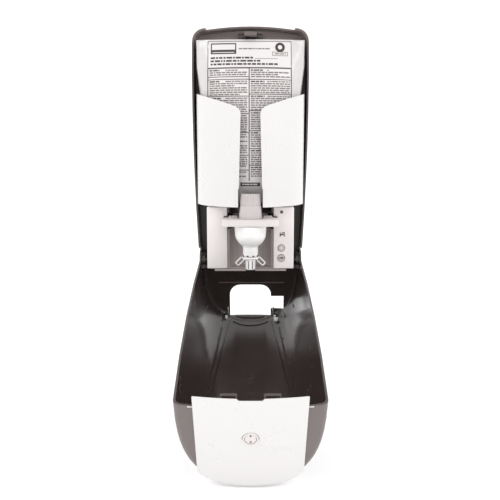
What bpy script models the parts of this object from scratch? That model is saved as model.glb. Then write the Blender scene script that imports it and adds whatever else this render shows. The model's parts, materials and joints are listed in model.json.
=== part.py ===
"""Wall mounted foam soap dispenser with its front cover swung open.

Frame: +X to the viewer's right, +Y into the wall, +Z up, in metres. The origin is the centre of
the rear housing's flat wall face. Levels are heights above the base of the rear housing. The cover
is modelled closed and its empty on the hinge axis turns it open.
"""

import math

import bmesh
import bpy
import numpy as np
from mathutils import Vector

MM = 0.001

# Overall sizes
HEIGHT = 276 * MM
WIDTH = 131 * MM
TRAY_DEPTH = 34 * MM
COVER_TOP_DEPTH = 95.3 * MM
COVER_CHIN_DEPTH = 85 * MM
WALL = 2.0 * MM
GAP = 0.4 * MM
RUNNING = 0.06 * MM
BASE = -HEIGHT / 2

# Outline shared by the rear housing and the cover
WIDEST_LEVEL = 210 * MM
FOOT_TAPER = 6.7 * MM
CROWN_RADIUS = 325 * MM
CORNER_RADIUS = 14 * MM
TOP_SLOPE = math.radians(6)
CHIN_RISE = 5.5 * MM
PLAN_POWER = 2.85
EDGE_ROUND = 5 * MM
PLAN_STEPS = 32

# Cover hinge
HINGE_LEVEL = 12 * MM
OPEN_ANGLE = math.radians(107.5)
EAR_RADIUS = 11.6 * MM
PIN_RADIUS = 2.0 * MM
LUG_THICKNESS = 3.5 * MM
LUG_RADIUS = 6 * MM
CUT_BACK = 15 * MM
FLOOR_START = 17 * MM
EAR_NOTCH_LEVEL = 26 * MM

# Cover: foam opening, lock and white front panel
OPENING_HALF = 24.8 * MM
OPENING_BEHIND_PUMP = 8 * MM
OPENING_FRONT = 80 * MM
OPENING_ROUND = 13 * MM
TAB_HOLE_WIDTH = 15.5 * MM
TAB_HOLE_REAR = 53.4 * MM
TAB_HOLE_FRONT = 70.9 * MM
PANEL_THICKNESS = 1.8 * MM
PANEL_FOOT_HALF = 20 * MM
PANEL_TOP_HALF = 48 * MM
PANEL_TONGUE = 12 * MM
TONGUE_NOTCH_HALF = 11 * MM
TONGUE_NOTCH_DEPTH = 2.2 * MM
CATCH_TAB_INNER = 11 * MM
CATCH_TAB_OUTER = 25 * MM
LOCK_SETBACK = 33 * MM
LOCK_RADIUS = 7 * MM
LOCK_RING = 1.6 * MM
CAM_REACH = 24 * MM
CAM_WIDTH = 7 * MM
CAM_THICKNESS = 1.8 * MM
TOOTH_RADIUS = 1.5 * MM
CLIP_RADIUS = 1.2 * MM

# Refill
CRADLE_LEVEL = 78.5 * MM
CRADLE_SIDE_RISE = 127 * MM
CRADLE_CENTRE_RISE = 106 * MM
CRADLE_DEPTH = 53 * MM
CRADLE_WALL = 1.8 * MM
CRADLE_POWER = 1.9
SLOT_HALF = 13.4 * MM
SLOT_TOP_HALF = 10.4 * MM
POUCH_DEPTH = 43 * MM
POUCH_TOP_CLEAR = 17 * MM
POUCH_BACK = 1.5 * MM
POUCH_POWER = 2.1
POUCH_SHOULDER = 3.2 * MM
POUCH_FULLNESS = ((0, 0.66), (0.12, 0.88), (0.3, 1), (0.5, 0.98), (0.68, 0.84), (0.84, 0.58), (1, 0.22))
PUMP_CLEAR = 14 * MM
NECK_RADIUS = 10.9 * MM
CUP_RADIUS = 12.6 * MM
NECK_TOP_LEVEL = 93 * MM
CUP_TOP_LEVEL = 80 * MM
CUP_BOTTOM_LEVEL = 57 * MM

# Pump head and yoke
STROKE = 8.5 * MM
STROKE_UP = 2.5 * MM
DOME_RADIUS = 16.4 * MM
DOME_TOP_LEVEL = 58.6 * MM
DOME_ROUND = 8 * MM
STEM_RADIUS = 8.3 * MM
STEM_TOP_LEVEL = 37 * MM
CUP_PLAY = 0.8 * MM
NOZZLE_RADIUS = 5.8 * MM
NOZZLE_LEVEL = 10 * MM
NOZZLE_TOP_LEVEL = 24.5 * MM
FIN_SPAN = 15.2 * MM
YOKE_LEVEL = 59.2 * MM
YOKE_THICKNESS = 7 * MM
YOKE_HALF = 30.5 * MM
YOKE_ROUND = 7 * MM
YOKE_TOE = 8 * MM
ARM_INNER = 20.5 * MM
ARM_WIDTH = 4.4 * MM

# Drive module
MODULE_DEPTH = 66 * MM
MODULE_LEVEL = 4.4 * MM
MODULE_BASE = 2.8 * MM
COLUMN_LEVEL = 7.6 * MM
COLUMN_TOP_LEVEL = 76.8 * MM
COLUMN_WALL = 1.6 * MM
BAY_HALF = 25.6 * MM
BAY_RADIUS = 24.4 * MM
BAY_HOLLOW = 22 * MM
BASE_TOE_IN = 8 * MM
PLATE_THICKNESS = 1.6 * MM
POST_RADIUS = 3.2 * MM
POST_INSET = 4.2 * MM
TAIL_THICKNESS = 3 * MM

# Gears, all with their axes along Y
GEAR_MODULE = 0.9 * MM
CRANK_TEETH = 36
PINION_TEETH = 12
IDLER_TEETH = 28
PRESSURE_ANGLE = math.radians(20)
BACKLASH = 0.16
GEAR_FACE = 3.4 * MM
CRANK_LEVEL = 42 * MM
IDLER_ANGLE = math.radians(-110)
CRANK_PIN_RADIUS = 1.5 * MM
SHAFT_RADIUS = 1.5 * MM
SLOT_PLAY = 1.1 * MM
MOTOR_RADIUS = 9.5 * MM

# Batteries, circuit board and controls
CELL_RADIUS = 7.1 * MM
CELL_LENGTH = 49.5 * MM
CELL_COUNT = 4
CELL_PITCH = 15.0 * MM
BOARD_THICKNESS = 1.6 * MM
BOARD_SETBACK = 8 * MM
CONTROL_OFFSET = 8.9 * MM
LED_LEVEL = 71.5 * MM
LED_RADIUS = 1.4 * MM
BUTTON_LEVEL = 31.2 * MM
BUTTON_RADIUS = 3.6 * MM
BUTTON_PROUD = 1.2 * MM
BUTTON_TRAVEL = 1.0 * MM
SWITCH_HEIGHT = 2.4 * MM
DIAL_LEVEL = 19.8 * MM
DIAL_RADIUS = 3.8 * MM
SCREW_RADIUS = 1.5 * MM
SCREW_HEAD_RADIUS = 2.7 * MM

# Wall fixing
WALL_HOLE_RADIUS = 2.6 * MM
WALL_HOLE_HALF_SPAN = 22 * MM
WALL_HOLE_LEVELS = (98 * MM, 232 * MM)

HINGE_Y = -TRAY_DEPTH
MODULE_FRONT = -MODULE_DEPTH
PUMP_Y = MODULE_FRONT - PUMP_CLEAR
BAY_REAR = MODULE_FRONT + BAY_HOLLOW
OPENING_REAR = -PUMP_Y - TRAY_DEPTH - OPENING_BEHIND_PUMP
TAIL_FRONT = BAY_REAR + 1.2 * MM
PLATE_FRONT = TAIL_FRONT + TAIL_THICKNESS + 2 * (GAP + GEAR_FACE) + 0.8 * MM
PLATE_REAR = PLATE_FRONT + PLATE_THICKNESS
PANEL_LIFT = GAP + PANEL_THICKNESS
SHELL_TOP = HEIGHT - PANEL_LIFT

PARTS = bpy.data.collections.new("wall_soap_dispenser")
HELPERS = bpy.data.collections.new("cutters")


def clear_scene():
    """Remove every object that the scene starts with."""
    for obj in list(bpy.data.objects):
        bpy.data.objects.remove(obj, do_unlink=True)
    bpy.context.scene.collection.children.link(PARTS)
    bpy.context.scene.collection.children.link(HELPERS)


def plastic(name, colour, roughness, metallic=0.0):
    """Return the named material, made on its first use."""
    found = bpy.data.materials.get(name)
    if found:
        return found
    made = bpy.data.materials.new(name)
    made.use_nodes = True
    shader = made.node_tree.nodes["Principled BSDF"]
    shader.inputs["Base Color"].default_value = (*colour, 1)
    shader.inputs["Roughness"].default_value = roughness
    shader.inputs["Metallic"].default_value = metallic
    return made


def black():
    return plastic("black_gloss", (0.035, 0.028, 0.026), 0.28)


def white():
    return plastic("white_gloss", (0.86, 0.85, 0.84), 0.3)


def light_grey():
    return plastic("light_grey", (0.72, 0.69, 0.68), 0.42)


def mid_grey():
    return plastic("mid_grey", (0.25, 0.22, 0.215), 0.45)


def steel():
    return plastic("steel", (0.6, 0.6, 0.6), 0.3, 1.0)


def natural():
    return plastic("natural_plastic", (0.7, 0.68, 0.66), 0.35)


def place(obj, material):
    """Put a part in the parts collection, or a helper (no material) among the cutters."""
    if material is None:
        HELPERS.objects.link(obj)
        obj.hide_render = True
        obj.display_type = "WIRE"
    else:
        PARTS.objects.link(obj)
        obj.data.materials.append(material)
    return obj


def from_bmesh(name, mesh_data, material):
    """Turn a bmesh into an object."""
    mesh = bpy.data.meshes.new(name)
    mesh_data.to_mesh(mesh)
    mesh_data.free()
    return place(bpy.data.objects.new(name, mesh), material)


def box(name, low, high, material=None, bevel=0.0):
    """A box between two corners, its edges rounded by bevel."""
    low, high = Vector(low), Vector(high)
    shape = bmesh.new()
    bmesh.ops.create_cube(shape, size=1)
    bmesh.ops.scale(shape, vec=high - low, verts=shape.verts)
    bmesh.ops.translate(shape, vec=(low + high) / 2, verts=shape.verts)
    obj = from_bmesh(name, shape, material)
    if bevel:
        add_bevel(obj, bevel)
    return obj


def add_bevel(obj, width, segments=2):
    """Round the sharp edges of an object."""
    rounded = obj.modifiers.new("rounded", "BEVEL")
    rounded.width = width
    rounded.segments = segments
    rounded.limit_method = "ANGLE"
    return obj


def rod(name, radius, start, end, material=None, sides=16, end_radius=None):
    """A cylinder or a cone between two points."""
    start, end = Vector(start), Vector(end)
    along = end - start
    shape = bmesh.new()
    far = radius if end_radius is None else end_radius
    bmesh.ops.create_cone(
        shape, cap_ends=True, segments=sides, radius1=radius, radius2=far, depth=along.length
    )
    turn = along.to_track_quat("Z", "Y").to_matrix()
    bmesh.ops.rotate(shape, matrix=turn, verts=shape.verts)
    bmesh.ops.translate(shape, vec=(start + end) / 2, verts=shape.verts)
    return from_bmesh(name, shape, material)


def plate(name, outline, low, high, axis, material=None):
    """A flat outline made thick along Y or Z. The outline gives (x, z) for Y and (x, y) for Z."""
    curve = bpy.data.curves.new(name, "CURVE")
    curve.dimensions = "2D"
    curve.fill_mode = "BOTH"
    curve.extrude = (high - low) / 2
    line = curve.splines.new("POLY")
    line.points.add(len(outline) - 1)
    for point, (across, along) in zip(line.points, outline):
        point.co = (across, along, 0, 1)
    line.use_cyclic_u = True
    guide = bpy.data.objects.new(name + "_outline", curve)
    bpy.context.scene.collection.objects.link(guide)
    middle = (low + high) / 2
    if axis == "Y":
        guide.rotation_euler = (math.pi / 2, 0, 0)
        guide.location = (0, middle, 0)
    else:
        guide.location = (0, 0, middle)
    bpy.context.view_layer.update()
    graph = bpy.context.evaluated_depsgraph_get()
    mesh = bpy.data.meshes.new_from_object(guide.evaluated_get(graph))
    mesh.transform(guide.matrix_world)
    bpy.data.objects.remove(guide)
    shape = bmesh.new()
    shape.from_mesh(mesh)
    bpy.data.meshes.remove(mesh)
    bmesh.ops.remove_doubles(shape, verts=shape.verts, dist=1e-6)
    bmesh.ops.recalc_face_normals(shape, faces=shape.faces)
    return from_bmesh(name, shape, material)


def turned(name, profile, centre, material=None, steps=24):
    """A turned shape: (radius, z) points from the top, down the outer side, about a vertical axis."""
    shape = bmesh.new()
    rim = [shape.verts.new((radius, 0, level)) for radius, level in profile]
    for above, below in zip(rim, rim[1:]):
        shape.edges.new((above, below))
    if profile[0][0] > 0:
        shape.edges.new((rim[-1], rim[0]))
    obj = from_bmesh(name, shape, material)
    obj.location = (centre[0], centre[1], 0)
    screw = obj.modifiers.new("turned", "SCREW")
    screw.axis = "Z"
    screw.steps = steps
    screw.render_steps = steps
    screw.use_merge_vertices = True
    screw.merge_threshold = 0.00001
    return obj


def combine(target, tool, operation):
    """Add one Boolean step to the target."""
    step = target.modifiers.new(operation.lower(), "BOOLEAN")
    step.operation = operation
    step.object = tool
    return target


def cut(target, *cutters):
    for cutter in cutters:
        combine(target, cutter, "DIFFERENCE")
    return target


def fuse(target, *pieces):
    for piece in pieces:
        combine(target, piece, "UNION")
    return target


def both_sides(make):
    """Call make(side, word) for the left and the right."""
    return [make(side, word) for side, word in ((-1, "left"), (1, "right"))]


def arc(centre, radius, start, stop, steps):
    """Points along an arc, with angles in degrees."""
    turns = [math.radians(start + (stop - start) * i / steps) for i in range(steps + 1)]
    return [(centre[0] + radius * math.cos(t), centre[1] + radius * math.sin(t)) for t in turns]


def mirrored(half):
    """A closed outline from its right half, which runs from the bottom to the top."""
    return half + [(-x, y) for x, y in reversed(half) if x > 1e-9]


def half_width(level):
    """Half the width of the housing and the cover's rim at a level above the base."""
    below = (WIDEST_LEVEL - level) / WIDEST_LEVEL
    return WIDTH / 2 - FOOT_TAPER * below**2


def crown(x):
    """How far the arched top falls below its middle."""
    return x * x / (2 * CROWN_RADIUS)


def hang(before, empty):
    """Parent every object made since before to an empty, keeping the place it was made in."""
    for obj in bpy.data.objects:
        if obj not in before and obj.parent is None and obj is not empty:
            obj.parent = empty
            obj.location = obj.location - empty.location


def pivot(name, location):
    """An empty on the axis of a joint."""
    empty = bpy.data.objects.new(name, None)
    empty.location = location
    empty.empty_display_size = 0.01
    bpy.context.scene.collection.objects.link(empty)
    return empty


# ---------------------------------------------------------------- rear housing


def housing_outline(inset):
    """Front outline of the rear housing: tapered sides, rounded shoulders and an arched top."""
    radius = CORNER_RADIUS - inset
    shoulder_x = half_width(HEIGHT) - CORNER_RADIUS
    shoulder_level = HEIGHT - crown(shoulder_x) - CORNER_RADIUS
    sides = 7
    levels = [inset + (shoulder_level - inset) * i / sides for i in range(sides)]
    right = [(half_width(level) - inset, BASE + level) for level in levels]
    right += arc((shoulder_x, BASE + shoulder_level), radius, 0, 80, 6)
    last = right[-1][0]
    top = BASE + HEIGHT - inset
    right += [(last * share, top - crown(last * share)) for share in (0.8, 0.6, 0.4, 0.2, 0)]
    return mirrored(right)


def rear_housing():
    """Shallow tray that is fixed to the wall, with the hinge lugs for the cover."""
    tray = plate("rear_housing", housing_outline(0), -TRAY_DEPTH, 0, "Y", black())
    hollow = plate("tray_hollow", housing_outline(WALL), -TRAY_DEPTH - 0.01, -WALL, "Y")
    side = WIDTH / 2 + 0.01
    foot = box("tray_foot_cut", (-side, -TRAY_DEPTH - 0.01, BASE - 0.01),
               (side, -CUT_BACK, BASE + EAR_NOTCH_LEVEL))
    tongue_rear = -TRAY_DEPTH + PANEL_TONGUE + 1 * MM
    notch = box("tray_tongue_notch", (-notch_half(), -TRAY_DEPTH - 0.01, BASE + HEIGHT - 12 * MM),
                (notch_half(), tongue_rear, BASE + HEIGHT + 0.01))
    cut(tray, hollow, foot, notch)
    both_sides(lambda side, word: hinge_lug(tray, side, word))
    for number, (x, z) in enumerate(post_places()):
        post = rod(f"post_{number}", POST_RADIUS, (x, PLATE_REAR + GAP, z), (x, -WALL / 2, z))
        bore = rod(f"post_bore_{number}", SCREW_RADIUS + RUNNING, (x, PLATE_REAR - 0.01, z),
                   (x, PLATE_REAR + 10 * MM, z), sides=12)
        cut(fuse(tray, post), bore)
    for number, level in enumerate(WALL_HOLE_LEVELS):
        for side in (-1, 1):
            x = side * WALL_HOLE_HALF_SPAN
            hole = rod(f"wall_hole_{number}_{side}", WALL_HOLE_RADIUS,
                       (x, -WALL - 0.01, BASE + level), (x, 0.01, BASE + level))
            cut(tray, hole)
    return tray


def notch_half():
    """Half the width of the notch that the panel's tongue closes."""
    return PANEL_TOP_HALF + 1.6 * MM


def lug_inner():
    """Distance of the hinge lugs' inner faces from the middle."""
    return half_width(0) - WALL - GAP - LUG_THICKNESS


def hinge_lug(tray, side, word):
    """Arm from the tray's back wall that carries one hinge pin."""
    inner = side * lug_inner()
    outer = side * (lug_inner() + LUG_THICKNESS)
    low_x, high_x = sorted((inner, outer))
    level = BASE + HINGE_LEVEL
    arm = box(f"lug_arm_{word}", (low_x, HINGE_Y, level - LUG_RADIUS),
              (high_x, -WALL / 2, level + LUG_RADIUS))
    head = rod(f"lug_head_{word}", LUG_RADIUS, (low_x, HINGE_Y, level), (high_x, HINGE_Y, level))
    hole = rod(f"lug_hole_{word}", PIN_RADIUS + GAP / 2, (low_x - 0.01, HINGE_Y, level),
               (high_x + 0.01, HINGE_Y, level))
    fuse(tray, arm, head)
    cut(tray, hole)


def hinge_pins():
    """Steel pins that join the lugs to the cover's ears."""
    def make(side, word):
        start = side * (lug_inner() - 1.5 * MM)
        end = side * (half_width(0) + 0.6 * MM)
        level = BASE + HINGE_LEVEL
        rod(f"hinge_pin_{word}", PIN_RADIUS, (start, HINGE_Y, level), (end, HINGE_Y, level), steel())
    both_sides(make)


def latch_catch():
    """Arm under the top of the tray whose side notch takes the lock's tooth."""
    level = BASE + catch_level()
    front = lock_y() + CAM_REACH - 7 * MM
    arm = box("latch_catch", (-7 * MM, front, level), (7 * MM, -WALL - GAP, level + 4 * MM),
              black(), 0.5 * MM)
    notch_middle = lock_y() + CAM_REACH - 0.5 * MM
    notch = box("catch_notch", (-2.6 * MM, notch_middle - 3.6 * MM, level - 0.01),
                (0.02, notch_middle + 3.2 * MM, level + 0.01))
    return cut(arm, notch)


def lock_y():
    return -TRAY_DEPTH - LOCK_SETBACK


def cam_level():
    """Underside of the lock's cam when the cover is shut."""
    inner_top = SHELL_TOP - crown(CAM_REACH) - LOCK_SETBACK * math.tan(TOP_SLOPE) - WALL
    return inner_top - 8.4 * MM


def catch_level():
    return cam_level() + CAM_THICKNESS + 1.2 * MM


# ---------------------------------------------------------------- refill


def bow_rows(rounding, shares, steps=3):
    """Rows of a bowed solid from bottom to top: share of the height, lift and inset."""
    turns = [math.pi / 2 * i / steps for i in range(steps + 1)]
    foot = [(0, rounding * (1 - math.cos(t)), rounding * (1 - math.sin(t))) for t in turns]
    head = [(1, -lift, inset) for _, lift, inset in reversed(foot)]
    return foot + [(share, 0, 0) for share in shares] + head


def bow(name, widths, depths, levels, rear, power, rounding, material=None, steps=PLAN_STEPS,
        shares=(0.25, 0.5, 0.75)):
    """A solid with a flat rear and a bowed front, lofted between rows of differing width and depth.

    widths and depths give half the width and the depth in front of the rim plane at a share of the
    height. levels gives the bottom and the top at (x, distance in front of the rim plane).
    """
    shape = bmesh.new()
    front_rows, rear_rows = [], []
    for share, lift, inset in bow_rows(rounding, shares):
        half, depth = widths(share) - inset, depths(share) - inset
        front_row, rear_row = [], []
        for step in range(steps + 1):
            across = math.sin(math.pi / 2 * (2 * step / steps - 1))
            x = half * across
            reach = depth * max(0, 1 - abs(across) ** power) ** (1 / power)
            for row, forward in ((front_row, reach), (rear_row, -rear)):
                low, high = levels(x, forward)
                z = low + share * (high - low) + lift
                row.append(shape.verts.new((x, -TRAY_DEPTH - forward, BASE + z)))
        front_rows.append(front_row)
        rear_rows.append(rear_row)
    for rows in (front_rows, rear_rows):
        for below, above in zip(rows, rows[1:]):
            for step in range(steps):
                shape.faces.new((below[step], below[step + 1], above[step + 1], above[step]))
    for index in (0, -1):
        for step in range(steps):
            shape.faces.new((front_rows[index][step], front_rows[index][step + 1],
                             rear_rows[index][step + 1], rear_rows[index][step]))
    for side in (0, -1):
        for low, high in zip(range(len(front_rows)), range(1, len(front_rows))):
            shape.faces.new((front_rows[low][side], front_rows[high][side],
                             rear_rows[high][side], rear_rows[low][side]))
    bmesh.ops.remove_doubles(shape, verts=shape.verts, dist=1e-6)
    bmesh.ops.dissolve_degenerate(shape, edges=shape.edges, dist=1e-6)
    bmesh.ops.triangulate(shape, faces=shape.faces)
    bmesh.ops.recalc_face_normals(shape, faces=shape.faces)
    return from_bmesh(name, shape, material)


def cradle_bow(name, inset, low, high, rear, material=None):
    """The cradle's bowed form between two levels, its wall set in by inset."""
    half = half_width(CRADLE_LEVEL) - WALL - GAP - inset
    return bow(name, lambda share: half, lambda share: CRADLE_DEPTH - inset, lambda x, forward: (low, high),
               rear, CRADLE_POWER, 0.01 * MM, material)


def refill_cradle():
    """White holder: a bowed wall in two wings with a slot between them, and a floor under the refill."""
    rim = CRADLE_LEVEL + CRADLE_SIDE_RISE
    wings = cradle_bow("refill_cradle", 0, CRADLE_LEVEL, rim, 0, white())
    cut(wings, cradle_bow("cradle_hollow", CRADLE_WALL, CRADLE_LEVEL + CRADLE_WALL, rim + 0.02, 0.01))
    side = half_width(CRADLE_LEVEL) + 0.01
    top = BASE + rim
    middle = BASE + CRADLE_LEVEL + CRADLE_CENTRE_RISE
    slope = [(side, top), (side * 0.75, top - 7 * MM), (SLOT_HALF, middle),
             (SLOT_HALF, top + 0.02), (side, top + 0.02)]
    front, back = -TRAY_DEPTH - CRADLE_DEPTH - 0.01, -TRAY_DEPTH + 0.01
    right = plate("cradle_top_right", slope, front, back, "Y")
    left = plate("cradle_top_left", [(-x, z) for x, z in slope], front, back, "Y")
    foot = BASE + CRADLE_LEVEL - 0.01
    slot_line = [(SLOT_HALF, foot), (SLOT_TOP_HALF, middle - 6 * MM),
                 (SLOT_TOP_HALF + 1.5 * MM, middle - 2.5 * MM), (SLOT_HALF + 2 * MM, middle + 0.5 * MM),
                 (SLOT_HALF + 2 * MM, top + 0.02)]
    slot = plate("cradle_slot", slot_line + [(-x, z) for x, z in reversed(slot_line)],
                 front, -TRAY_DEPTH - 0.005, "Y")
    cut(wings, right, left, slot)
    half = half_width(CRADLE_LEVEL) - WALL - 2 * GAP - 1 * MM
    floor = box("cradle_floor", (-half, -TRAY_DEPTH - 2 * MM, BASE + CRADLE_LEVEL),
                (half, -WALL - GAP, BASE + CRADLE_LEVEL + CRADLE_WALL))
    neck_way = box("cradle_neck_way", (-SLOT_HALF, front, foot),
                   (SLOT_HALF, PUMP_Y + NECK_RADIUS + 6 * MM, BASE + CRADLE_LEVEL + 0.02))
    fuse(wings, floor)
    return cut(wings, neck_way)


def refill_pouch():
    """Filled pouch: thin at its top seam, full in the middle, standing in the cradle."""
    low = CRADLE_LEVEL + CRADLE_WALL + GAP + 0.6 * MM
    high = HEIGHT - POUCH_TOP_CLEAR
    shares, fullness = zip(*POUCH_FULLNESS)

    def depths(share):
        return POUCH_DEPTH * float(np.interp(share, shares, fullness))

    def widths(share):
        wide = half_width(CRADLE_LEVEL) - WALL - GAP - CRADLE_WALL - 1.4 * MM
        above_cradle = float(np.interp(share, (shares[4], shares[5]), (0, 1)))
        return wide - 5 * MM * (1 - share) ** 3 + POUCH_SHOULDER * above_cradle

    pouch = bow("refill_pouch", widths, depths, lambda x, forward: (low, high),
                TRAY_DEPTH - WALL - POUCH_BACK, POUCH_POWER, 5 * MM, natural(), 14, shares[1:-1])
    neck_room = rod("pouch_neck_room", NECK_RADIUS + GAP, (0, PUMP_Y, BASE + CRADLE_LEVEL - 0.01),
                    (0, PUMP_Y, BASE + NECK_TOP_LEVEL + GAP), sides=24)
    return cut(pouch, neck_room)


def pump_cup():
    """Fitment and fixed half of the foam pump, hanging from the pouch through the slot."""
    top, bottom = BASE + NECK_TOP_LEVEL, BASE + CUP_BOTTOM_LEVEL
    shoulder = BASE + CUP_TOP_LEVEL
    profile = [(0, top), (NECK_RADIUS, top), (NECK_RADIUS, shoulder), (CUP_RADIUS, shoulder - 2 * MM),
               (CUP_RADIUS, bottom), (0, bottom)]
    return turned("pump_cup", profile, (0, PUMP_Y), natural())


def pump_head():
    """Domed moving half of the pump, hollow where the cup slides into it."""
    top = BASE + DOME_TOP_LEVEL
    stem_top = BASE + STEM_TOP_LEVEL
    stem_bottom = BASE + NOZZLE_TOP_LEVEL
    swell_top = top - DOME_ROUND
    profile = [(0, top), (DOME_RADIUS - 0.6 * MM, top)]
    for across, down in arc((0, 0), 1, 0, 62, 5):
        profile.append((STEM_RADIUS + (DOME_RADIUS - STEM_RADIUS) * across,
                        swell_top - (swell_top - stem_top) * down))
    profile += [(STEM_RADIUS, stem_top - 2 * MM), (STEM_RADIUS, stem_bottom), (0, stem_bottom)]
    shape = turned("pump_head", profile, (0, PUMP_Y), white())
    bore = CUP_RADIUS + CUP_PLAY
    bore_floor = BASE + CUP_BOTTOM_LEVEL - STROKE_UP - 3 * MM
    hollow = rod("pump_head_bore", bore, (0, PUMP_Y, bore_floor), (0, PUMP_Y, top + 0.01), sides=24)
    return cut(shape, hollow)


def foam_nozzle():
    """Foam outlet below the pump head with its two slanted grip fins."""
    top, bottom = BASE + NOZZLE_TOP_LEVEL - GAP, BASE + NOZZLE_LEVEL
    profile = [(0, top), (STEM_RADIUS - 0.6 * MM, top), (STEM_RADIUS - 0.6 * MM, top - 2 * MM),
               (NOZZLE_RADIUS, top - 4 * MM), (NOZZLE_RADIUS - 0.6 * MM, bottom), (0, bottom)]
    nozzle = turned("foam_nozzle", profile, (0, PUMP_Y), white(), 20)
    mouth = rod("nozzle_mouth", NOZZLE_RADIUS - 2 * MM, (0, PUMP_Y, bottom - 0.01),
                (0, PUMP_Y, bottom + 9 * MM), sides=16)

    def fin(side, word):
        inner = side * (NOZZLE_RADIUS - 1 * MM)
        outer = side * FIN_SPAN
        tip = side * (FIN_SPAN - 4 * MM)
        line = [(inner, top - 1 * MM), (side * (NOZZLE_RADIUS + 3 * MM), top - 1 * MM),
                (outer, top - 8 * MM), (tip, top - 10.6 * MM), (inner, top - 4.6 * MM)]
        blade = plate(f"nozzle_fin_{word}", line, PUMP_Y - 2.2 * MM, PUMP_Y + 2.2 * MM, "Y")
        fuse(nozzle, blade)

    both_sides(fin)
    return cut(nozzle, mouth)


# ---------------------------------------------------------------- drive module


def crank_x_z():
    return 0.0, BASE + CRANK_LEVEL


def tail_y():
    """Front and rear face of the yoke's tail."""
    return TAIL_FRONT, TAIL_FRONT + TAIL_THICKNESS


def crank_planes():
    """Front and rear face of the crank gear."""
    front = tail_y()[1] + GAP
    return front, front + GEAR_FACE


def wheel_planes():
    """Front and rear face of the idler's wheel and the motor's pinion."""
    front = crank_planes()[1] + GAP
    return front, front + GEAR_FACE


def lift_yoke():
    """Collar that lifts the pump head, with two arms to a tail that the crank's pin drives."""
    low, high = BASE + YOKE_LEVEL, BASE + YOKE_LEVEL + YOKE_THICKNESS
    front = PUMP_Y - CUP_RADIUS - 5.5 * MM
    rear = MODULE_FRONT - 1 * MM
    corner = YOKE_ROUND
    right = arc((YOKE_HALF - corner, front + corner), corner, -90, 0, 5)
    arm_outer = ARM_INNER + ARM_WIDTH
    right += [(YOKE_HALF, rear), (arm_outer, rear), (arm_outer, rear + YOKE_TOE)]
    outline = mirrored(right)
    collar = plate("lift_yoke", outline, low, high, "Z", light_grey())
    bore = rod("yoke_bore", CUP_RADIUS + 0.9 * MM, (0, PUMP_Y, low - 0.01), (0, PUMP_Y, high + 0.01),
               sides=24)
    tail_front, tail_rear = tail_y()

    def arm(side, word):
        low_x, high_x = sorted((side * ARM_INNER, side * (arm_outer - step)))
        beam = box(f"yoke_arm_{word}", (low_x, rear - 4 * MM, low + step),
                   (high_x, tail_rear - step, high - step))
        fuse(collar, beam)

    step = 0.4 * MM
    both_sides(arm)
    reach = arm_outer - 2 * step
    centre_x, centre_z = crank_x_z()
    slot_z = centre_z + rest_lift()
    tail = box("yoke_tail", (-reach, tail_front, slot_z - 5.5 * MM), (reach, tail_rear, high - 2 * step))
    pocket = CRANK_PIN_RADIUS + SLOT_PLAY
    throw = STROKE / 2
    slot = box("yoke_slot", (centre_x - pocket - 0.6 * MM, tail_front - 0.01, slot_z - pocket),
               (centre_x + throw + pocket + 0.6 * MM, tail_rear + 0.01, slot_z + pocket))
    fuse(collar, tail)
    cut(collar, bore, slot)
    return collar


def rest_lift():
    """Height of the yoke at rest above the middle of its stroke."""
    return STROKE / 2 - STROKE_UP


def rest_crank_angle():
    """Crank angle at rest: half a turn of the crank spans the stroke."""
    return math.pi * rest_lift() / STROKE


def gear_outline(centre, teeth, turn):
    """Outline of an involute gear in the XZ plane."""
    pitch = GEAR_MODULE * teeth / 2
    root = pitch - 1.15 * GEAR_MODULE
    tip = pitch + 0.85 * GEAR_MODULE
    base = pitch * math.cos(PRESSURE_ANGLE)

    def spread(radius):
        angle = math.acos(min(1, base / max(radius, base)))
        return math.tan(angle) - angle

    half_tooth = math.pi / (2 * teeth) * (1 - BACKLASH)
    radii = [root, max(base, root + 0.2 * GEAR_MODULE), pitch, tip]
    flank = [(radius, half_tooth + spread(pitch) - spread(radius)) for radius in radii]
    points = []
    for tooth in range(teeth):
        middle = turn + 2 * math.pi * tooth / teeth
        for radius, half in flank:
            points.append((radius, middle - half))
        for radius, half in reversed(flank):
            points.append((radius, middle + half))
    return [(centre[0] + r * math.cos(a), centre[1] + r * math.sin(a)) for r, a in points]


def idler_centre():
    """The idler stands beside and below the crank gear."""
    x, z = crank_x_z()
    distance = GEAR_MODULE * (CRANK_TEETH + PINION_TEETH) / 2
    return x + distance * math.cos(IDLER_ANGLE), z + distance * math.sin(IDLER_ANGLE)


def motor_centre():
    """The motor stands beside the idler, at its level."""
    x, z = idler_centre()
    return x + GEAR_MODULE * (IDLER_TEETH + PINION_TEETH) / 2, z


def mesh_turn(from_centre, to_centre, teeth, from_teeth, from_turn):
    """Turn of a gear that puts one of its gaps on a tooth of the gear it meshes with."""
    dx, dz = to_centre[0] - from_centre[0], to_centre[1] - from_centre[1]
    towards = math.atan2(dz, dx)
    pitch_angle = 2 * math.pi / from_teeth
    offset = (towards - from_turn) / pitch_angle
    phase = offset - round(offset)
    return towards + math.pi + math.pi / teeth + phase * 2 * math.pi / teeth


def crank_gear():
    """Output gear with the pin that works in the yoke's slot."""
    centre = crank_x_z()
    front, rear = crank_planes()
    gear = plate("crank_gear", gear_outline(centre, CRANK_TEETH, 0), front, rear, "Y", natural())
    bore = rod("crank_bore", SHAFT_RADIUS + RUNNING, (centre[0], front - 0.01, centre[1]),
               (centre[0], rear + 0.01, centre[1]))
    angle = rest_crank_angle()
    pin_x = centre[0] + STROKE / 2 * math.cos(angle)
    pin_z = centre[1] + STROKE / 2 * math.sin(angle)
    pin = rod("crank_pin", CRANK_PIN_RADIUS, (pin_x, tail_y()[0] + 0.3 * MM, pin_z),
              (pin_x, rear - 1 * MM, pin_z), sides=12)
    return fuse(cut(gear, bore), pin)


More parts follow.
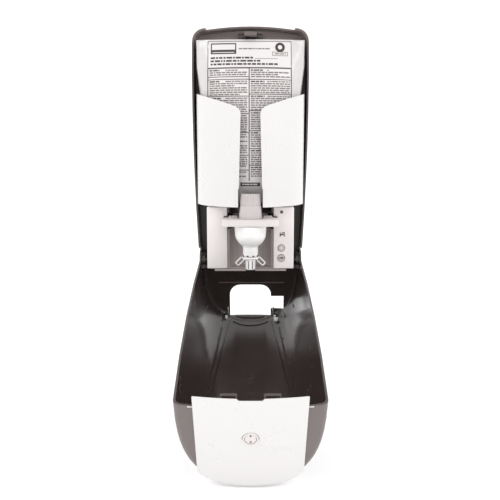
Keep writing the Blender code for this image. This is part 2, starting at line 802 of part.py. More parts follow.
def idler_turn():
    """Turn of the idler's small gear, in mesh with the crank gear."""
    return mesh_turn(crank_x_z(), idler_centre(), PINION_TEETH, CRANK_TEETH, 0)


def idler_gear():
    """Compound gear: a small gear on the crank gear and a wheel on the motor's pinion."""
    centre = idler_centre()
    front = crank_planes()[0]
    wheel_front, wheel_rear = wheel_planes()
    turn = idler_turn()
    wheel = plate("idler_gear", gear_outline(centre, IDLER_TEETH, turn), wheel_front, wheel_rear,
                  "Y", natural())
    small = plate("idler_small_gear", gear_outline(centre, PINION_TEETH, turn), front,
                  wheel_front + 1 * MM, "Y")
    bore = rod("idler_bore", SHAFT_RADIUS + RUNNING, (centre[0], front - 0.01, centre[1]),
               (centre[0], wheel_rear + 0.01, centre[1]))
    return cut(fuse(wheel, small), bore)


def motor_pinion():
    centre = motor_centre()
    front, rear = wheel_planes()
    turn = mesh_turn(idler_centre(), centre, PINION_TEETH, IDLER_TEETH, idler_turn())
    pinion = plate("motor_pinion", gear_outline(centre, PINION_TEETH, turn), front, rear, "Y", steel())
    shaft = rod("pinion_shaft", 1 * MM, (centre[0], rear - 1 * MM, centre[1]),
                (centre[0], PLATE_REAR + 4 * MM, centre[1]), sides=12)
    return fuse(pinion, shaft)


def gear_shafts():
    """Fixed steel shafts of the crank gear and the idler, held by the gearbox plate."""
    for name, centre in (("crank_shaft", crank_x_z()), ("idler_shaft", idler_centre())):
        x, z = centre
        start = crank_planes()[0] + 0.4 * MM
        rod(name, SHAFT_RADIUS, (x, start, z), (x, PLATE_REAR + 1 * MM, z), steel())


def gearbox_plate():
    """Plate across the module behind the gears, which the shafts and the motor are fixed to."""
    half = BAY_HALF - GAP
    board = box("gearbox_plate", (-half, PLATE_FRONT, BASE + COLUMN_LEVEL),
                (half, PLATE_REAR, BASE + COLUMN_TOP_LEVEL), mid_grey())
    for name, centre, radius in (("crank", crank_x_z(), SHAFT_RADIUS),
                                 ("idler", idler_centre(), SHAFT_RADIUS),
                                 ("motor", motor_centre(), 2.4 * MM)):
        x, z = centre
        hole = rod(f"{name}_plate_hole", radius + GAP / 2, (x, PLATE_FRONT - 0.01, z),
                   (x, PLATE_FRONT + 0.01, z))
        cut(board, hole)
    for number, (x, z) in enumerate(post_places()):
        hole = rod(f"screw_plate_hole_{number}", SCREW_RADIUS + GAP, (x, PLATE_FRONT - 0.01, z),
                   (x, PLATE_FRONT + 0.01, z), sides=12)
        cut(board, hole)
    return board


def post_places():
    """Places (x, z) of the four posts that carry the gearbox plate."""
    x = BAY_HALF - GAP - POST_INSET
    low = BASE + COLUMN_LEVEL + POST_INSET
    high = BASE + COLUMN_TOP_LEVEL - POST_INSET
    return [(-x, low), (x, low), (-x, high), (x, high)]


def plate_screws():
    """Screws through the gearbox plate into the tray's posts."""
    for number, (x, z) in enumerate(post_places(), 1):
        head = rod(f"plate_screw_{number}", SCREW_HEAD_RADIUS, (x, PLATE_FRONT - GAP - 1.6 * MM, z),
                   (x, PLATE_FRONT - GAP, z), steel(), 14)
        shank = rod(f"screw_shank_{number}", SCREW_RADIUS, (x, PLATE_FRONT - 1 * MM, z),
                    (x, PLATE_REAR + 8 * MM, z), sides=12)
        recess = rod(f"screw_recess_{number}", 1.1 * MM, (x, PLATE_FRONT - GAP - 2 * MM, z),
                     (x, PLATE_FRONT - GAP - 0.8 * MM, z), sides=6)
        cut(fuse(head, shank), recess)


def gear_motor():
    """Small motor behind the gearbox plate, bored for the pinion's shaft."""
    x, z = motor_centre()
    front = PLATE_REAR + GAP
    can = rod("gear_motor", MOTOR_RADIUS, (x, front, z), (x, -WALL - 1 * MM, z), steel(), 24)
    bore = rod("motor_bore", 1 * MM + GAP, (x, front - 0.01, z), (x, front + 5 * MM, z), sides=12)
    return cut(can, bore)


def module_half():
    """Half the width over the two columns, clear of the hinge lugs and their pins."""
    return lug_inner() - 4.6 * MM


def module_base():
    """Bottom lip of the module, set in at its ends, with a notch for the sensor window."""
    half = module_half() - BASE_TOE_IN
    low, high = BASE + MODULE_LEVEL, BASE + MODULE_LEVEL + MODULE_BASE
    lip = box("module_base", (-half, MODULE_FRONT + 2 * MM, low), (half, -WALL - GAP, high),
              mid_grey(), 0.4 * MM)
    window = box("sensor_notch", (-5.2 * MM, MODULE_FRONT - 0.01, low - 0.01),
                 (5.2 * MM, MODULE_FRONT + 10 * MM, high + 0.01))
    return cut(lip, window)


def sensor_window():
    """Dark window over the hand sensor, under the spout."""
    low, high = BASE + MODULE_LEVEL, BASE + MODULE_LEVEL + MODULE_BASE
    return box("sensor_window", (-5.2 * MM + GAP, MODULE_FRONT + 2.6 * MM, low),
               (5.2 * MM - GAP, MODULE_FRONT + 10 * MM - GAP, high), black(), 0.3 * MM)


def hand_sensors():
    """Emitter and receiver behind the sensor window."""
    level = BASE + COLUMN_LEVEL + GAP
    for side, word in ((-1, "emitter"), (1, "receiver")):
        x = side * 2.6 * MM
        y = MODULE_FRONT + 6.5 * MM
        rod(f"sensor_{word}", 1.5 * MM, (x, y, level), (x, y, level + 2.4 * MM), black(), 10)


def bay_liner():
    """Concave wall behind the pump, between the columns, slotted for the yoke's arms."""
    low, high = BASE + COLUMN_LEVEL, BASE + COLUMN_TOP_LEVEL
    half = BAY_HALF - GAP
    front = MODULE_FRONT + 3 * MM
    wall = box("bay_liner", (-half, front, low), (half, BAY_REAR, high), mid_grey())
    axis_y = front - 6 * MM
    hollow = rod("bay_hollow", BAY_RADIUS, (0, axis_y, low + 0.8 * MM), (0, axis_y, high + 0.01), sides=40)
    cut(wall, hollow)
    clear_top = BASE + YOKE_LEVEL + YOKE_THICKNESS + STROKE_UP + 1 * MM
    clear_bottom = BASE + YOKE_LEVEL - (STROKE - STROKE_UP) - 1 * MM

    def way(side, word):
        inner, outer = side * (ARM_INNER - 0.7 * MM), side * (ARM_INNER + ARM_WIDTH + 2 * MM)
        low_x, high_x = sorted((inner, outer))
        slot = box(f"arm_way_{word}", (low_x, front - 0.01, clear_bottom),
                   (high_x, BAY_REAR + 0.01, clear_top))
        cut(wall, slot)

    both_sides(way)
    seat = box("sensor_seat", (-5 * MM, MODULE_FRONT, low - 0.01),
               (5 * MM, MODULE_FRONT + 10 * MM, low + 3.2 * MM))
    return cut(wall, seat)


def column_range(side):
    """Low and high X of one column."""
    return sorted((side * BAY_HALF, side * module_half()))


def column_cover(side, word):
    """Housing of one column, open at its rear."""
    low_x, high_x = column_range(side)
    low, high = BASE + COLUMN_LEVEL, BASE + COLUMN_TOP_LEVEL
    rear = -WALL - GAP
    shell = box(f"{word}_column_cover", (low_x, MODULE_FRONT, low), (high_x, rear, high),
                light_grey(), 0.9 * MM)
    wall = COLUMN_WALL
    hollow = box(f"{word}_column_hollow", (low_x + wall, MODULE_FRONT + wall, low + wall),
                 (high_x - wall, rear + 0.01, high - wall))
    return cut(shell, hollow)


def control_x():
    """Centre line of the controls on the right column."""
    return BAY_HALF + CONTROL_OFFSET


def right_column_holes(cover):
    """Holes for the lamp, the button and the dial."""
    for name, level, radius in (("led", LED_LEVEL, LED_RADIUS), ("button", BUTTON_LEVEL, BUTTON_RADIUS),
                                ("dial", DIAL_LEVEL, DIAL_RADIUS)):
        hole = rod(f"{name}_hole", radius + GAP, (control_x(), MODULE_FRONT - 0.01, BASE + level),
                   (control_x(), MODULE_FRONT + 0.01, BASE + level), sides=20)
        cut(cover, hole)


def batteries():
    """Four cells standing one behind the other in the left column."""
    low_x, high_x = column_range(-1)
    x = (low_x + high_x) / 2
    low = BASE + COLUMN_LEVEL + COLUMN_WALL + 4 * MM
    first = MODULE_FRONT + COLUMN_WALL + 1.2 * MM + CELL_RADIUS
    for number in range(CELL_COUNT):
        y = first + CELL_PITCH * number
        button = 2.6 * MM
        profile = [(0, low + CELL_LENGTH), (button, low + CELL_LENGTH),
                   (button, low + CELL_LENGTH - 1.4 * MM), (CELL_RADIUS, low + CELL_LENGTH - 1.4 * MM),
                   (CELL_RADIUS, low), (0, low)]
        turned(f"battery_{number + 1}", profile, (x, y), natural(), 16)
    for word, level in (("lower", low - 1.2 * MM), ("upper", low + CELL_LENGTH + GAP)):
        box(f"battery_contact_{word}", (x - 5 * MM, first - 5 * MM, level),
            (x + 5 * MM, first + CELL_PITCH * (CELL_COUNT - 1) + 5 * MM, level + 0.8 * MM), steel())


def circuit_board():
    """Board in the right column behind the controls."""
    low_x, high_x = column_range(1)
    inset = COLUMN_WALL + GAP
    y = MODULE_FRONT + BOARD_SETBACK
    return box("circuit_board", (low_x + inset, y, BASE + COLUMN_LEVEL + inset + 1 * MM),
               (high_x - inset, y + BOARD_THICKNESS, BASE + COLUMN_TOP_LEVEL - inset),
               plastic("board", (0.02, 0.12, 0.05), 0.5))


def controls():
    """Status lamp, test button and dose dial on the right column."""
    x = control_x()
    board = MODULE_FRONT + BOARD_SETBACK
    rod("status_led", LED_RADIUS, (x, MODULE_FRONT - 0.3 * MM, BASE + LED_LEVEL),
        (x, board - GAP, BASE + LED_LEVEL), plastic("lamp", (0.2, 0.1, 0.08), 0.2), 12)
    before = set(bpy.data.objects)
    z = BASE + BUTTON_LEVEL
    cap = rod("test_button", BUTTON_RADIUS, (x, MODULE_FRONT - BUTTON_PROUD, z),
              (x, MODULE_FRONT + COLUMN_WALL + 0.6 * MM, z), light_grey(), 20)
    stem = rod("button_stem", 1.6 * MM, (x, MODULE_FRONT, z),
               (x, board - SWITCH_HEIGHT - BUTTON_TRAVEL - 0.1 * MM, z))
    fuse(cap, stem)
    hang(before, pivot("button_axis", (x, MODULE_FRONT, z)))
    before = set(bpy.data.objects)
    z = BASE + DIAL_LEVEL
    dial = rod("dose_dial", DIAL_RADIUS, (x, MODULE_FRONT - 0.4 * MM, z),
               (x, MODULE_FRONT + COLUMN_WALL + 1.4 * MM, z), light_grey(), 20)
    slot = box("dial_slot", (x - 2.4 * MM, MODULE_FRONT - 0.01, z - 0.5 * MM),
               (x + 2.4 * MM, MODULE_FRONT + 0.7 * MM, z + 0.5 * MM))
    cut(dial, slot)
    hang(before, pivot("dial_axis", (x, MODULE_FRONT, z)))


def switch_body():
    """Push switch on the board behind the test button."""
    x, z = control_x(), BASE + BUTTON_LEVEL
    front = MODULE_FRONT + BOARD_SETBACK
    return box("push_switch", (x - 2.5 * MM, front - SWITCH_HEIGHT, z - 2.5 * MM),
               (x + 2.5 * MM, front - GAP, z + 2.5 * MM), black())


# ---------------------------------------------------------------- cover


def cover_bow(name, offset, floor_lift, rear, material=None):
    """The cover's form, its walls moved out by offset and its floor up by floor_lift."""
    def levels(x, forward):
        floor = CHIN_RISE * forward / COVER_CHIN_DEPTH + floor_lift
        top = SHELL_TOP + offset - crown(x) - forward * math.tan(TOP_SLOPE)
        return floor, top

    def widths(share):
        return half_width(share * SHELL_TOP) + offset

    def depths(share):
        return COVER_CHIN_DEPTH + (COVER_TOP_DEPTH - COVER_CHIN_DEPTH) * share + offset

    return bow(name, widths, depths, levels, rear, PLAN_POWER, EDGE_ROUND, material)


def cover_shell():
    """Black cover: a deep tapered shell with hinge ears and the foam opening in its floor."""
    shell = cover_bow("cover_shell", 0, 0, 0, black())
    cut(shell, cover_bow("cover_hollow", -WALL, WALL, 0.012))
    side = half_width(0) - WALL
    rear_cut = box("cover_floor_cut", (-side, -TRAY_DEPTH - FLOOR_START, BASE - 0.01),
                   (side, -TRAY_DEPTH + 0.01, BASE + 0.008))
    cut(shell, rear_cut)
    corner = OPENING_ROUND
    rear, front = -TRAY_DEPTH - OPENING_REAR, -TRAY_DEPTH - OPENING_FRONT
    right = [(OPENING_HALF, front)] + arc((OPENING_HALF - corner, rear - corner), corner, 0, 90, 6)
    opening = plate("foam_opening", mirrored(right), BASE - 0.01, BASE + 0.02, "Z")
    tab = box("tab_hole", (OPENING_HALF - 1 * MM, -TRAY_DEPTH - TAB_HOLE_FRONT, BASE - 0.01),
              (OPENING_HALF + TAB_HOLE_WIDTH, -TRAY_DEPTH - TAB_HOLE_REAR, BASE + 0.02))
    cut(shell, opening, tab)

    def ear(side, word):
        outer = side * (half_width(0) - 0.1 * MM)
        inner = side * (half_width(0) - WALL - 0.02 * MM)
        level = BASE + HINGE_LEVEL
        disc = rod(f"ear_{word}", EAR_RADIUS, (inner, HINGE_Y, level), (outer, HINGE_Y, level), sides=24)
        hole = rod(f"ear_hole_{word}", PIN_RADIUS + RUNNING, (inner - side * 0.01, HINGE_Y, level),
                   (outer + side * 0.01, HINGE_Y, level))
        fuse(shell, disc)
        cut(shell, hole)

    both_sides(ear)

    def tab_piece(side, word):
        low_x, high_x = sorted((side * CATCH_TAB_INNER, side * CATCH_TAB_OUTER))
        level = BASE + SHELL_TOP - crown(CATCH_TAB_OUTER) - WALL
        piece = box(f"catch_tab_{word}", (low_x, -TRAY_DEPTH - 3 * MM, level - 1 * MM),
                    (high_x, -TRAY_DEPTH + 13 * MM, level + 0.6 * MM))
        fuse(shell, piece)

    both_sides(tab_piece)
    lock_hole = rod("lock_hole", LOCK_RADIUS - 1 * MM + GAP, (0, lock_y(), BASE + SHELL_TOP - 0.02),
                    (0, lock_y(), BASE + HEIGHT + 0.01), sides=24)
    return cut(shell, lock_hole)


def front_panel():
    """White panel that wraps the cover's top and front, wide at the top and narrow at the chin."""
    panel = cover_bow("front_panel", PANEL_LIFT, 3 * MM, PANEL_TONGUE, white())
    cut(panel, cover_bow("panel_hollow", GAP, -0.02, PANEL_TONGUE + 0.01))
    low, high = BASE - 0.02, BASE + HEIGHT + 0.01
    shift = (PANEL_TOP_HALF - PANEL_FOOT_HALF) / HEIGHT
    top_half = PANEL_TOP_HALF + shift * 0.01
    foot_half = PANEL_FOOT_HALF - shift * 0.02
    bulge = 2.2 * MM
    right = [(foot_half, low), ((foot_half + top_half) / 2 + bulge, (low + high) / 2), (top_half, high)]
    front, back = -TRAY_DEPTH - COVER_TOP_DEPTH - 0.02, -TRAY_DEPTH + PANEL_TONGUE + 0.01
    shield = plate("panel_shield", right + [(-x, z) for x, z in reversed(right)], front, back, "Y")
    combine(panel, shield, "INTERSECT")
    rear = -TRAY_DEPTH + PANEL_TONGUE
    half, depth = TONGUE_NOTCH_HALF, TONGUE_NOTCH_DEPTH
    line = [(half + 0.01, rear + 0.01), (half - 1.5 * MM, rear - depth), (0, rear - depth)]
    notch = plate("tongue_notch", line + [(-x, y) for x, y in line[1::-1] if x > 0],
                  BASE + HEIGHT - 0.02, BASE + HEIGHT + 0.02, "Z")
    hole = rod("panel_lock_hole", LOCK_RADIUS + GAP, (0, lock_y(), BASE + HEIGHT - 0.02),
               (0, lock_y(), BASE + HEIGHT + 0.02), sides=24)
    return cut(panel, notch, hole)


def lock_top():
    """Level of the panel's outer surface at the lock."""
    return HEIGHT - LOCK_SETBACK * math.tan(TOP_SLOPE)


def lock_ring():
    """Fixed collar that the lock's barrel turns in."""
    y = lock_y()
    top = BASE + lock_top() + 0.9 * MM
    low = BASE + lock_top() - PANEL_LIFT + GAP + 0.9 * MM
    ring = rod("lock_ring", LOCK_RADIUS, (0, y, low), (0, y, top), light_grey(), 28)
    bore = rod("lock_ring_bore", LOCK_RADIUS - LOCK_RING, (0, y, low - 0.01), (0, y, top + 0.01), sides=24)
    return cut(ring, bore)


def lock_barrel():
    """Barrel with two key slots, its tail carrying the cam below."""
    y = lock_y()
    top = BASE + lock_top() + 0.5 * MM
    radius = LOCK_RADIUS - LOCK_RING - GAP
    low = BASE + cam_level() + CAM_THICKNESS + GAP
    barrel = rod("lock_barrel", radius, (0, y, low), (0, y, top), light_grey(), 20)

    def key_slot(side, word):
        low_y, high_y = sorted((y + side * 2.2 * MM, y + side * 4.2 * MM))
        slot = box(f"key_slot_{word}", (-0.8 * MM, low_y, top - 2.5 * MM), (0.8 * MM, high_y, top + 0.01))
        cut(barrel, slot)

    both_sides(key_slot)
    return barrel


def lock_cam():
    """Cam with an upturned tooth. At rest it points sideways, clear of the catch."""
    y = lock_y()
    low = BASE + cam_level()
    high = low + CAM_THICKNESS
    half = CAM_WIDTH / 2
    line = arc((0, y), half + 1 * MM, 90, 270, 8)
    line += arc((CAM_REACH, y), half - 1 * MM, -90, 90, 6)
    cam = plate("lock_cam", line, low, high, "Z", steel())
    tooth = rod("cam_tooth", TOOTH_RADIUS, (CAM_REACH, y, low + 0.5 * MM),
                (CAM_REACH, y, high + 4.6 * MM), sides=12)
    return fuse(cam, tooth)


def chin_clips():
    """Small steel clips beside the foam opening that hold the panel's foot."""
    def make(side, word):
        x = side * (OPENING_HALF + 3 * MM)
        y = -TRAY_DEPTH - OPENING_FRONT + 4 * MM
        floor = BASE + CHIN_RISE * (OPENING_FRONT - 4 * MM) / COVER_CHIN_DEPTH + WALL + 3 * GAP
        rod(f"chin_clip_{word}", CLIP_RADIUS, (x, y, floor + CLIP_RADIUS),
            (x, y + 9 * MM, floor + CLIP_RADIUS - 0.5 * MM), steel(), 10)
    both_sides(make)


def build_cover():
    """Make the cover shut, then turn it open on its hinge."""
    before = set(bpy.data.objects)
    cover_shell()
    front_panel()
    lock_ring()
    chin_clips()
    locked = set(bpy.data.objects)
    lock_barrel()
    lock_cam()
    lock_axis = pivot("lock_axis", (0, lock_y(), BASE + lock_top()))
    hang(locked, lock_axis)
    hinge = pivot("cover_hinge_axis", (0, HINGE_Y, BASE + HINGE_LEVEL))
    hang(before, hinge)
    hinge.rotation_euler = (OPEN_ANGLE, 0, 0)


def build_module():
    """Make the drive module with its yoke, gears, cells, board and controls."""
    module_base()
    sensor_window()
    hand_sensors()
    bay_liner()
    column_cover(-1, "left")
    right_column_holes(column_cover(1, "right"))
    batteries()
    circuit_board()
    controls()
    switch_body()
    gearbox_plate()
    gear_shafts()
    gear_motor()
    plate_screws()
    for name, centre, make in (("crank_axis", crank_x_z(), crank_gear),
                               ("idler_axis", idler_centre(), idler_gear),
                               ("pinion_axis", motor_centre(), motor_pinion)):
        before = set(bpy.data.objects)
        make()
        hang(before, pivot(name, (centre[0], crank_planes()[0], centre[1])))


def build_refill():
    """Make the refill and the parts that move with the yoke."""
    refill_cradle()
    refill_pouch()
    pump_cup()
    before = set(bpy.data.objects)
    lift_yoke()
    pump_head()
    foam_nozzle()
    hang(before, pivot("yoke_axis", (0, PUMP_Y, BASE + YOKE_LEVEL)))


def smooth_round_parts():
    """Shade the round faces smooth and keep the edges sharp."""
    for obj in PARTS.objects:
        obj.data.shade_smooth()
        obj.data.set_sharp_from_angle(angle=math.radians(35))


def main():
    clear_scene()
    rear_housing()
    hinge_pins()
    latch_catch()
    build_refill()
    build_module()
    build_cover()
    smooth_round_parts()
    bpy.context.view_layer.update()


main()
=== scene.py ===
"""Looks of a wall mounted foam soap dispenser, its front cover unlocked and swung down.

Frame: +X to the viewer's right, +Y into the wall, +Z up, in metres. Levels are heights above the
base of the rear housing. The cover's details are shaped with the cover shut and then turned open.
"""

import json
import logging
import math
import random
from collections.abc import Iterator, Sequence
from dataclasses import dataclass, field
from enum import Enum

import bmesh
import bpy
from mathutils import Matrix, Vector, noise
from mathutils.bvhtree import BVHTree


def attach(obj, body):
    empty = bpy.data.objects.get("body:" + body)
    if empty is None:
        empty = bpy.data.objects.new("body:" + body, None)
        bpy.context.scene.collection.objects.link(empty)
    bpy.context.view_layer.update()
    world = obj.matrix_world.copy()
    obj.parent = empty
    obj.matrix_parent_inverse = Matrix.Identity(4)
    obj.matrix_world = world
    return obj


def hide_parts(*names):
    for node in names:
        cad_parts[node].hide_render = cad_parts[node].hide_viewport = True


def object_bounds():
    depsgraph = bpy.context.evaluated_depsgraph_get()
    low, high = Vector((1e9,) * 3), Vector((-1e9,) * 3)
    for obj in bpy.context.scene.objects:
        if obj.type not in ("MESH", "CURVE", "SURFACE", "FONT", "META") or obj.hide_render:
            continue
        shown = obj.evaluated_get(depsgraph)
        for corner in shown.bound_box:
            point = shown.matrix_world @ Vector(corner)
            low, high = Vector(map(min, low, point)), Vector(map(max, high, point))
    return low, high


LOG = logging.getLogger("dispenser")
MM = 0.001
MERGE = 0.001 * MM
RIM_REACH = 22 * MM
SIDES = (-1, 1)
BMesh = bmesh.types.BMesh
NodeTree = bpy.types.NodeTree
NodeSocket = bpy.types.NodeSocket
Object = bpy.types.Object
Colour = tuple[float, float, float]
Profile = Sequence[tuple[float, float]]

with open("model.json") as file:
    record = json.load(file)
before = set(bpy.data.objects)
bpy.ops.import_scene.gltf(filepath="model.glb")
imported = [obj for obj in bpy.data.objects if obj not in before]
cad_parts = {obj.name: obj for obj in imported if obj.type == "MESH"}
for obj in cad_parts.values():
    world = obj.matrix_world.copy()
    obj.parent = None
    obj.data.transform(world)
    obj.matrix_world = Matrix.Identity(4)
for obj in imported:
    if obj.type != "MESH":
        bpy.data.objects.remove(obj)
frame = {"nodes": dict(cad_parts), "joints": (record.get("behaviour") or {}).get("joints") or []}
CAD_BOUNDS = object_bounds()


# ------------------------------------------------------------------ finishes


class Grain(Enum):
    """How fine the texture of a moulded face is."""

    POLISHED = 0.0
    SATIN = 0.35
    TEXTURED = 1.0


def socket(tree: NodeTree, name: str, way: str, value: float | None = None) -> None:
    """Add a number socket to a node group.

    Args:
        tree: The node group.
        name: The socket's name.
        way: INPUT or OUTPUT.
        value: The socket's default.
    """
    made = tree.interface.new_socket(name=name, in_out=way, socket_type="NodeSocketFloat")
    if value is not None:
        made.default_value = value


def maths(tree: NodeTree, operation: str, first: NodeSocket,
          second: NodeSocket | float) -> NodeSocket:
    """Add a Math node.

    Args:
        tree: The node tree.
        operation: What the node does.
        first: A socket.
        second: A number or a socket.

    Returns:
        The node's output.
    """
    node = tree.nodes.new("ShaderNodeMath")
    node.operation = operation
    tree.links.new(first, node.inputs[0])
    if isinstance(second, NodeSocket):
        tree.links.new(second, node.inputs[1])
    else:
        node.inputs[1].default_value = second
    return node.outputs[0]


def speckle(tree: NodeTree, scale: float, detail: float,
            distortion: float = 0.0) -> NodeSocket:
    """Add a noise texture in the piece's own space.

    Args:
        tree: The node tree.
        scale: How many specks it has in a metre.
        detail: How rich it is.
        distortion: How much it swirls.

    Returns:
        The texture's value.
    """
    place = tree.nodes.new("ShaderNodeTexCoord")
    made = tree.nodes.new("ShaderNodeTexNoise")
    made.inputs["Scale"].default_value = scale
    made.inputs["Detail"].default_value = detail
    made.inputs["Distortion"].default_value = distortion
    tree.links.new(place.outputs["Object"], made.inputs["Vector"])
    return made.outputs["Fac"]


def moulded_group() -> NodeTree:
    """Return the group that every moulded plastic shares: texture, flow marks and dust.

    Returns:
        The node group, made on its first use.
    """
    found = bpy.data.node_groups.get("moulded_surface")
    if found:
        return found
    tree = bpy.data.node_groups.new("moulded_surface", "ShaderNodeTree")
    for name in ("Texture", "Roughness"):
        socket(tree, name, "INPUT", 0.3)
    for name in ("Height", "Roughness", "Shade"):
        socket(tree, name, "OUTPUT")
    inside = tree.nodes.new("NodeGroupInput")
    outside = tree.nodes.new("NodeGroupOutput")
    fine = speckle(tree, 1900, 2)
    flow = speckle(tree, 26, 3, 0.6)
    dust = speckle(tree, 420, 4)
    wander = maths(tree, "MULTIPLY", maths(tree, "SUBTRACT", flow, 0.5), 0.14)
    speck = maths(tree, "MULTIPLY", maths(tree, "SUBTRACT", dust, 0.5), 0.08)
    rough = maths(tree, "ADD", inside.outputs["Roughness"], maths(tree, "ADD", wander, speck))
    shade = maths(tree, "ADD", maths(tree, "MULTIPLY", flow, 0.7),
                  maths(tree, "MULTIPLY", dust, 0.3))
    for name, value in (("Height", maths(tree, "MULTIPLY", fine, inside.outputs["Texture"])),
                        ("Roughness", maths(tree, "MAXIMUM", rough, 0.05)), ("Shade", shade)):
        tree.links.new(value, outside.inputs[name])
    return tree


def toned(name: str, tones: tuple[Colour, Colour], roughness: float,
          texture: float) -> tuple[bpy.types.Material, bpy.types.Node, bpy.types.Node]:
    """Make a material whose colour wanders between two tones.

    Args:
        name: Its name.
        tones: Linear colours of its paler and its darker areas.
        roughness: Middle roughness.
        texture: How strong its fine texture is.

    Returns:
        The material, its shader and the node that gives its surface.
    """
    made = bpy.data.materials.new(name)
    made.use_nodes = True
    tree = made.node_tree
    shader = tree.nodes["Principled BSDF"]
    surface = tree.nodes.new("ShaderNodeGroup")
    surface.node_tree = moulded_group()
    surface.inputs["Texture"].default_value = texture
    surface.inputs["Roughness"].default_value = roughness
    tint = tree.nodes.new("ShaderNodeMix")
    tint.data_type = "RGBA"
    paler, darker = tones
    tint.inputs["A"].default_value = (*darker, 1)
    tint.inputs["B"].default_value = (*paler, 1)
    tree.links.new(surface.outputs["Shade"], tint.inputs["Factor"])
    tree.links.new(tint.outputs["Result"], shader.inputs["Base Color"])
    tree.links.new(surface.outputs["Roughness"], shader.inputs["Roughness"])
    return made, shader, surface


@dataclass(frozen=True)
class Plastic:
    """A moulded plastic.

    Attributes:
        name: The material's name.
        slot: The record's material slot, not used.
        colour: Linear colour of its paler areas.
        deeper: Linear colour of its darker areas.
        roughness: Middle roughness.
        grain: How textured its faces are.
        coat: Weight of the clear gloss over it.
        translucency: Share of light that goes into the plastic.
    """

    name: str
    slot: str
    colour: Colour
    deeper: Colour
    roughness: float
    grain: Grain = Grain.POLISHED
    coat: float = 0.0
    translucency: float = 0.0

    def material(self) -> bpy.types.Material:
        """Return the finish's material, made on its first use.

        Returns:
            The material.
        """
        found = bpy.data.materials.get(self.name)
        if found:
            return found
        made, shader, surface = toned(self.name, (self.colour, self.deeper), self.roughness,
                                      0.15 + self.grain.value)
        tree = made.node_tree
        bump = tree.nodes.new("ShaderNodeBump")
        bump.inputs["Strength"].default_value = 0.25
        bump.inputs["Distance"].default_value = 0.08 * MM
        tree.links.new(surface.outputs["Height"], bump.inputs["Height"])
        tree.links.new(bump.outputs["Normal"], shader.inputs["Normal"])
        shader.inputs["Coat Weight"].default_value = self.coat
        shader.inputs["Coat Roughness"].default_value = 0.12
        shader.inputs["Subsurface Weight"].default_value = self.translucency
        shader.inputs["Subsurface Scale"].default_value = 2 * MM
        shader.inputs["Subsurface Radius"].default_value = (1, 1, 1)
        return made


@dataclass(frozen=True)
class Metal:
    """A bright turned or stamped metal.

    Attributes:
        name: The material's name.
        slot: The record's material slot, not used.
        colour: Linear colour.
        roughness: Middle roughness.
    """

    name: str
    slot: str
    colour: Colour
    roughness: float

    def material(self) -> bpy.types.Material:
        """Return the metal's material, made on its first use.

        Returns:
            The material.
        """
        found = bpy.data.materials.get(self.name)
        if found:
            return found
        darker = tuple(0.8 * part for part in self.colour)
        made, shader, _ = toned(self.name, (self.colour, darker), self.roughness, 0.5)
        shader.inputs["Metallic"].default_value = 1
        return made


Finish = Plastic | Metal
BLACK_GLOSS = Plastic("black_gloss_moulding", "black_gloss", (0.058, 0.043, 0.040),
                      (0.038, 0.027, 0.025), 0.24, coat=0.3)
# Paler copy of the black plastic, really more matt and textured: painted light on the cover's
# outside and painted highlights on the chin's ridges.
BLACK_SATIN_LIT = Plastic("black_satin_painted_light", "black_gloss", (0.165, 0.138, 0.132), (0.130, 0.106, 0.100),
                      0.40, Grain.TEXTURED)
TRAY_BLACK = Plastic("tray_black", "black_gloss", (0.075, 0.060, 0.056), (0.050, 0.038, 0.035),
                     0.34, Grain.SATIN)
# Grey copies of the black plastic for the tray's top band: painted light where light falls on the
# band, and the faces within it paler still.
INNER_BAND_LIT = Plastic("inner_band_painted_light", "black_gloss", (0.50, 0.425, 0.405), (0.36, 0.30, 0.286),
                     0.36, Grain.SATIN)
BAND_GREY_LIT = Plastic("band_grey_painted_light", "black_gloss", (0.145, 0.118, 0.112), (0.10, 0.080, 0.076),
                    0.36, Grain.SATIN)
WHITE = Plastic("white_moulding", "white_gloss", (0.71, 0.694, 0.688), (0.68, 0.664, 0.658),
                0.30, translucency=0.05)
# Whiter copy of the white moulding for the pump, which sits in the cradle's shade: painted light.
PUMP_WHITE_LIT = Plastic("pump_moulding_painted_light", "white_gloss", (0.90, 0.885, 0.875), (0.86, 0.845, 0.835),
                     0.26, translucency=0.1)
LIGHT_GREY = Plastic("light_grey_moulding", "light_grey", (0.70, 0.655, 0.648),
                     (0.65, 0.607, 0.60), 0.42, Grain.SATIN)
CONTROL_GREY = Plastic("control_grey", "light_grey", (0.52, 0.48, 0.472), (0.47, 0.43, 0.425),
                       0.40, Grain.SATIN)
COLUMN_GREY = Plastic("column_grey", "light_grey", (0.81, 0.762, 0.753), (0.75, 0.703, 0.695),
                      0.42, Grain.SATIN)
MID_GREY = Plastic("mid_grey_moulding", "mid_grey", (0.43, 0.377, 0.366), (0.34, 0.297, 0.288),
                   0.45, Grain.SATIN)
NATURAL = Plastic("natural_moulding", "natural_plastic", (0.60, 0.55, 0.54), (0.45, 0.41, 0.40),
                  0.30, translucency=0.25)
FILM = Plastic("pouch_foil", "pouch_film", (0.65, 0.63, 0.624), (0.51, 0.49, 0.484),
               0.16, coat=0.6, translucency=0.08)
CLEAR = Plastic("clear_film", "pouch_film", (0.60, 0.548, 0.548), (0.42, 0.372, 0.372),
                0.18, coat=0.4, translucency=0.1)
PAPER = Plastic("label_paper", "pouch_film", (0.68, 0.655, 0.65), (0.64, 0.615, 0.61), 0.40)
INK = Plastic("label_ink", "pouch_film", (0.045, 0.032, 0.030), (0.030, 0.022, 0.020), 0.42)
FAINT_INK = Plastic("faint_ink", "pouch_film", (0.22, 0.19, 0.185), (0.13, 0.105, 0.10), 0.45)
MARK = Plastic("dark_mark", "light_grey", (0.070, 0.052, 0.048), (0.045, 0.032, 0.030), 0.45)
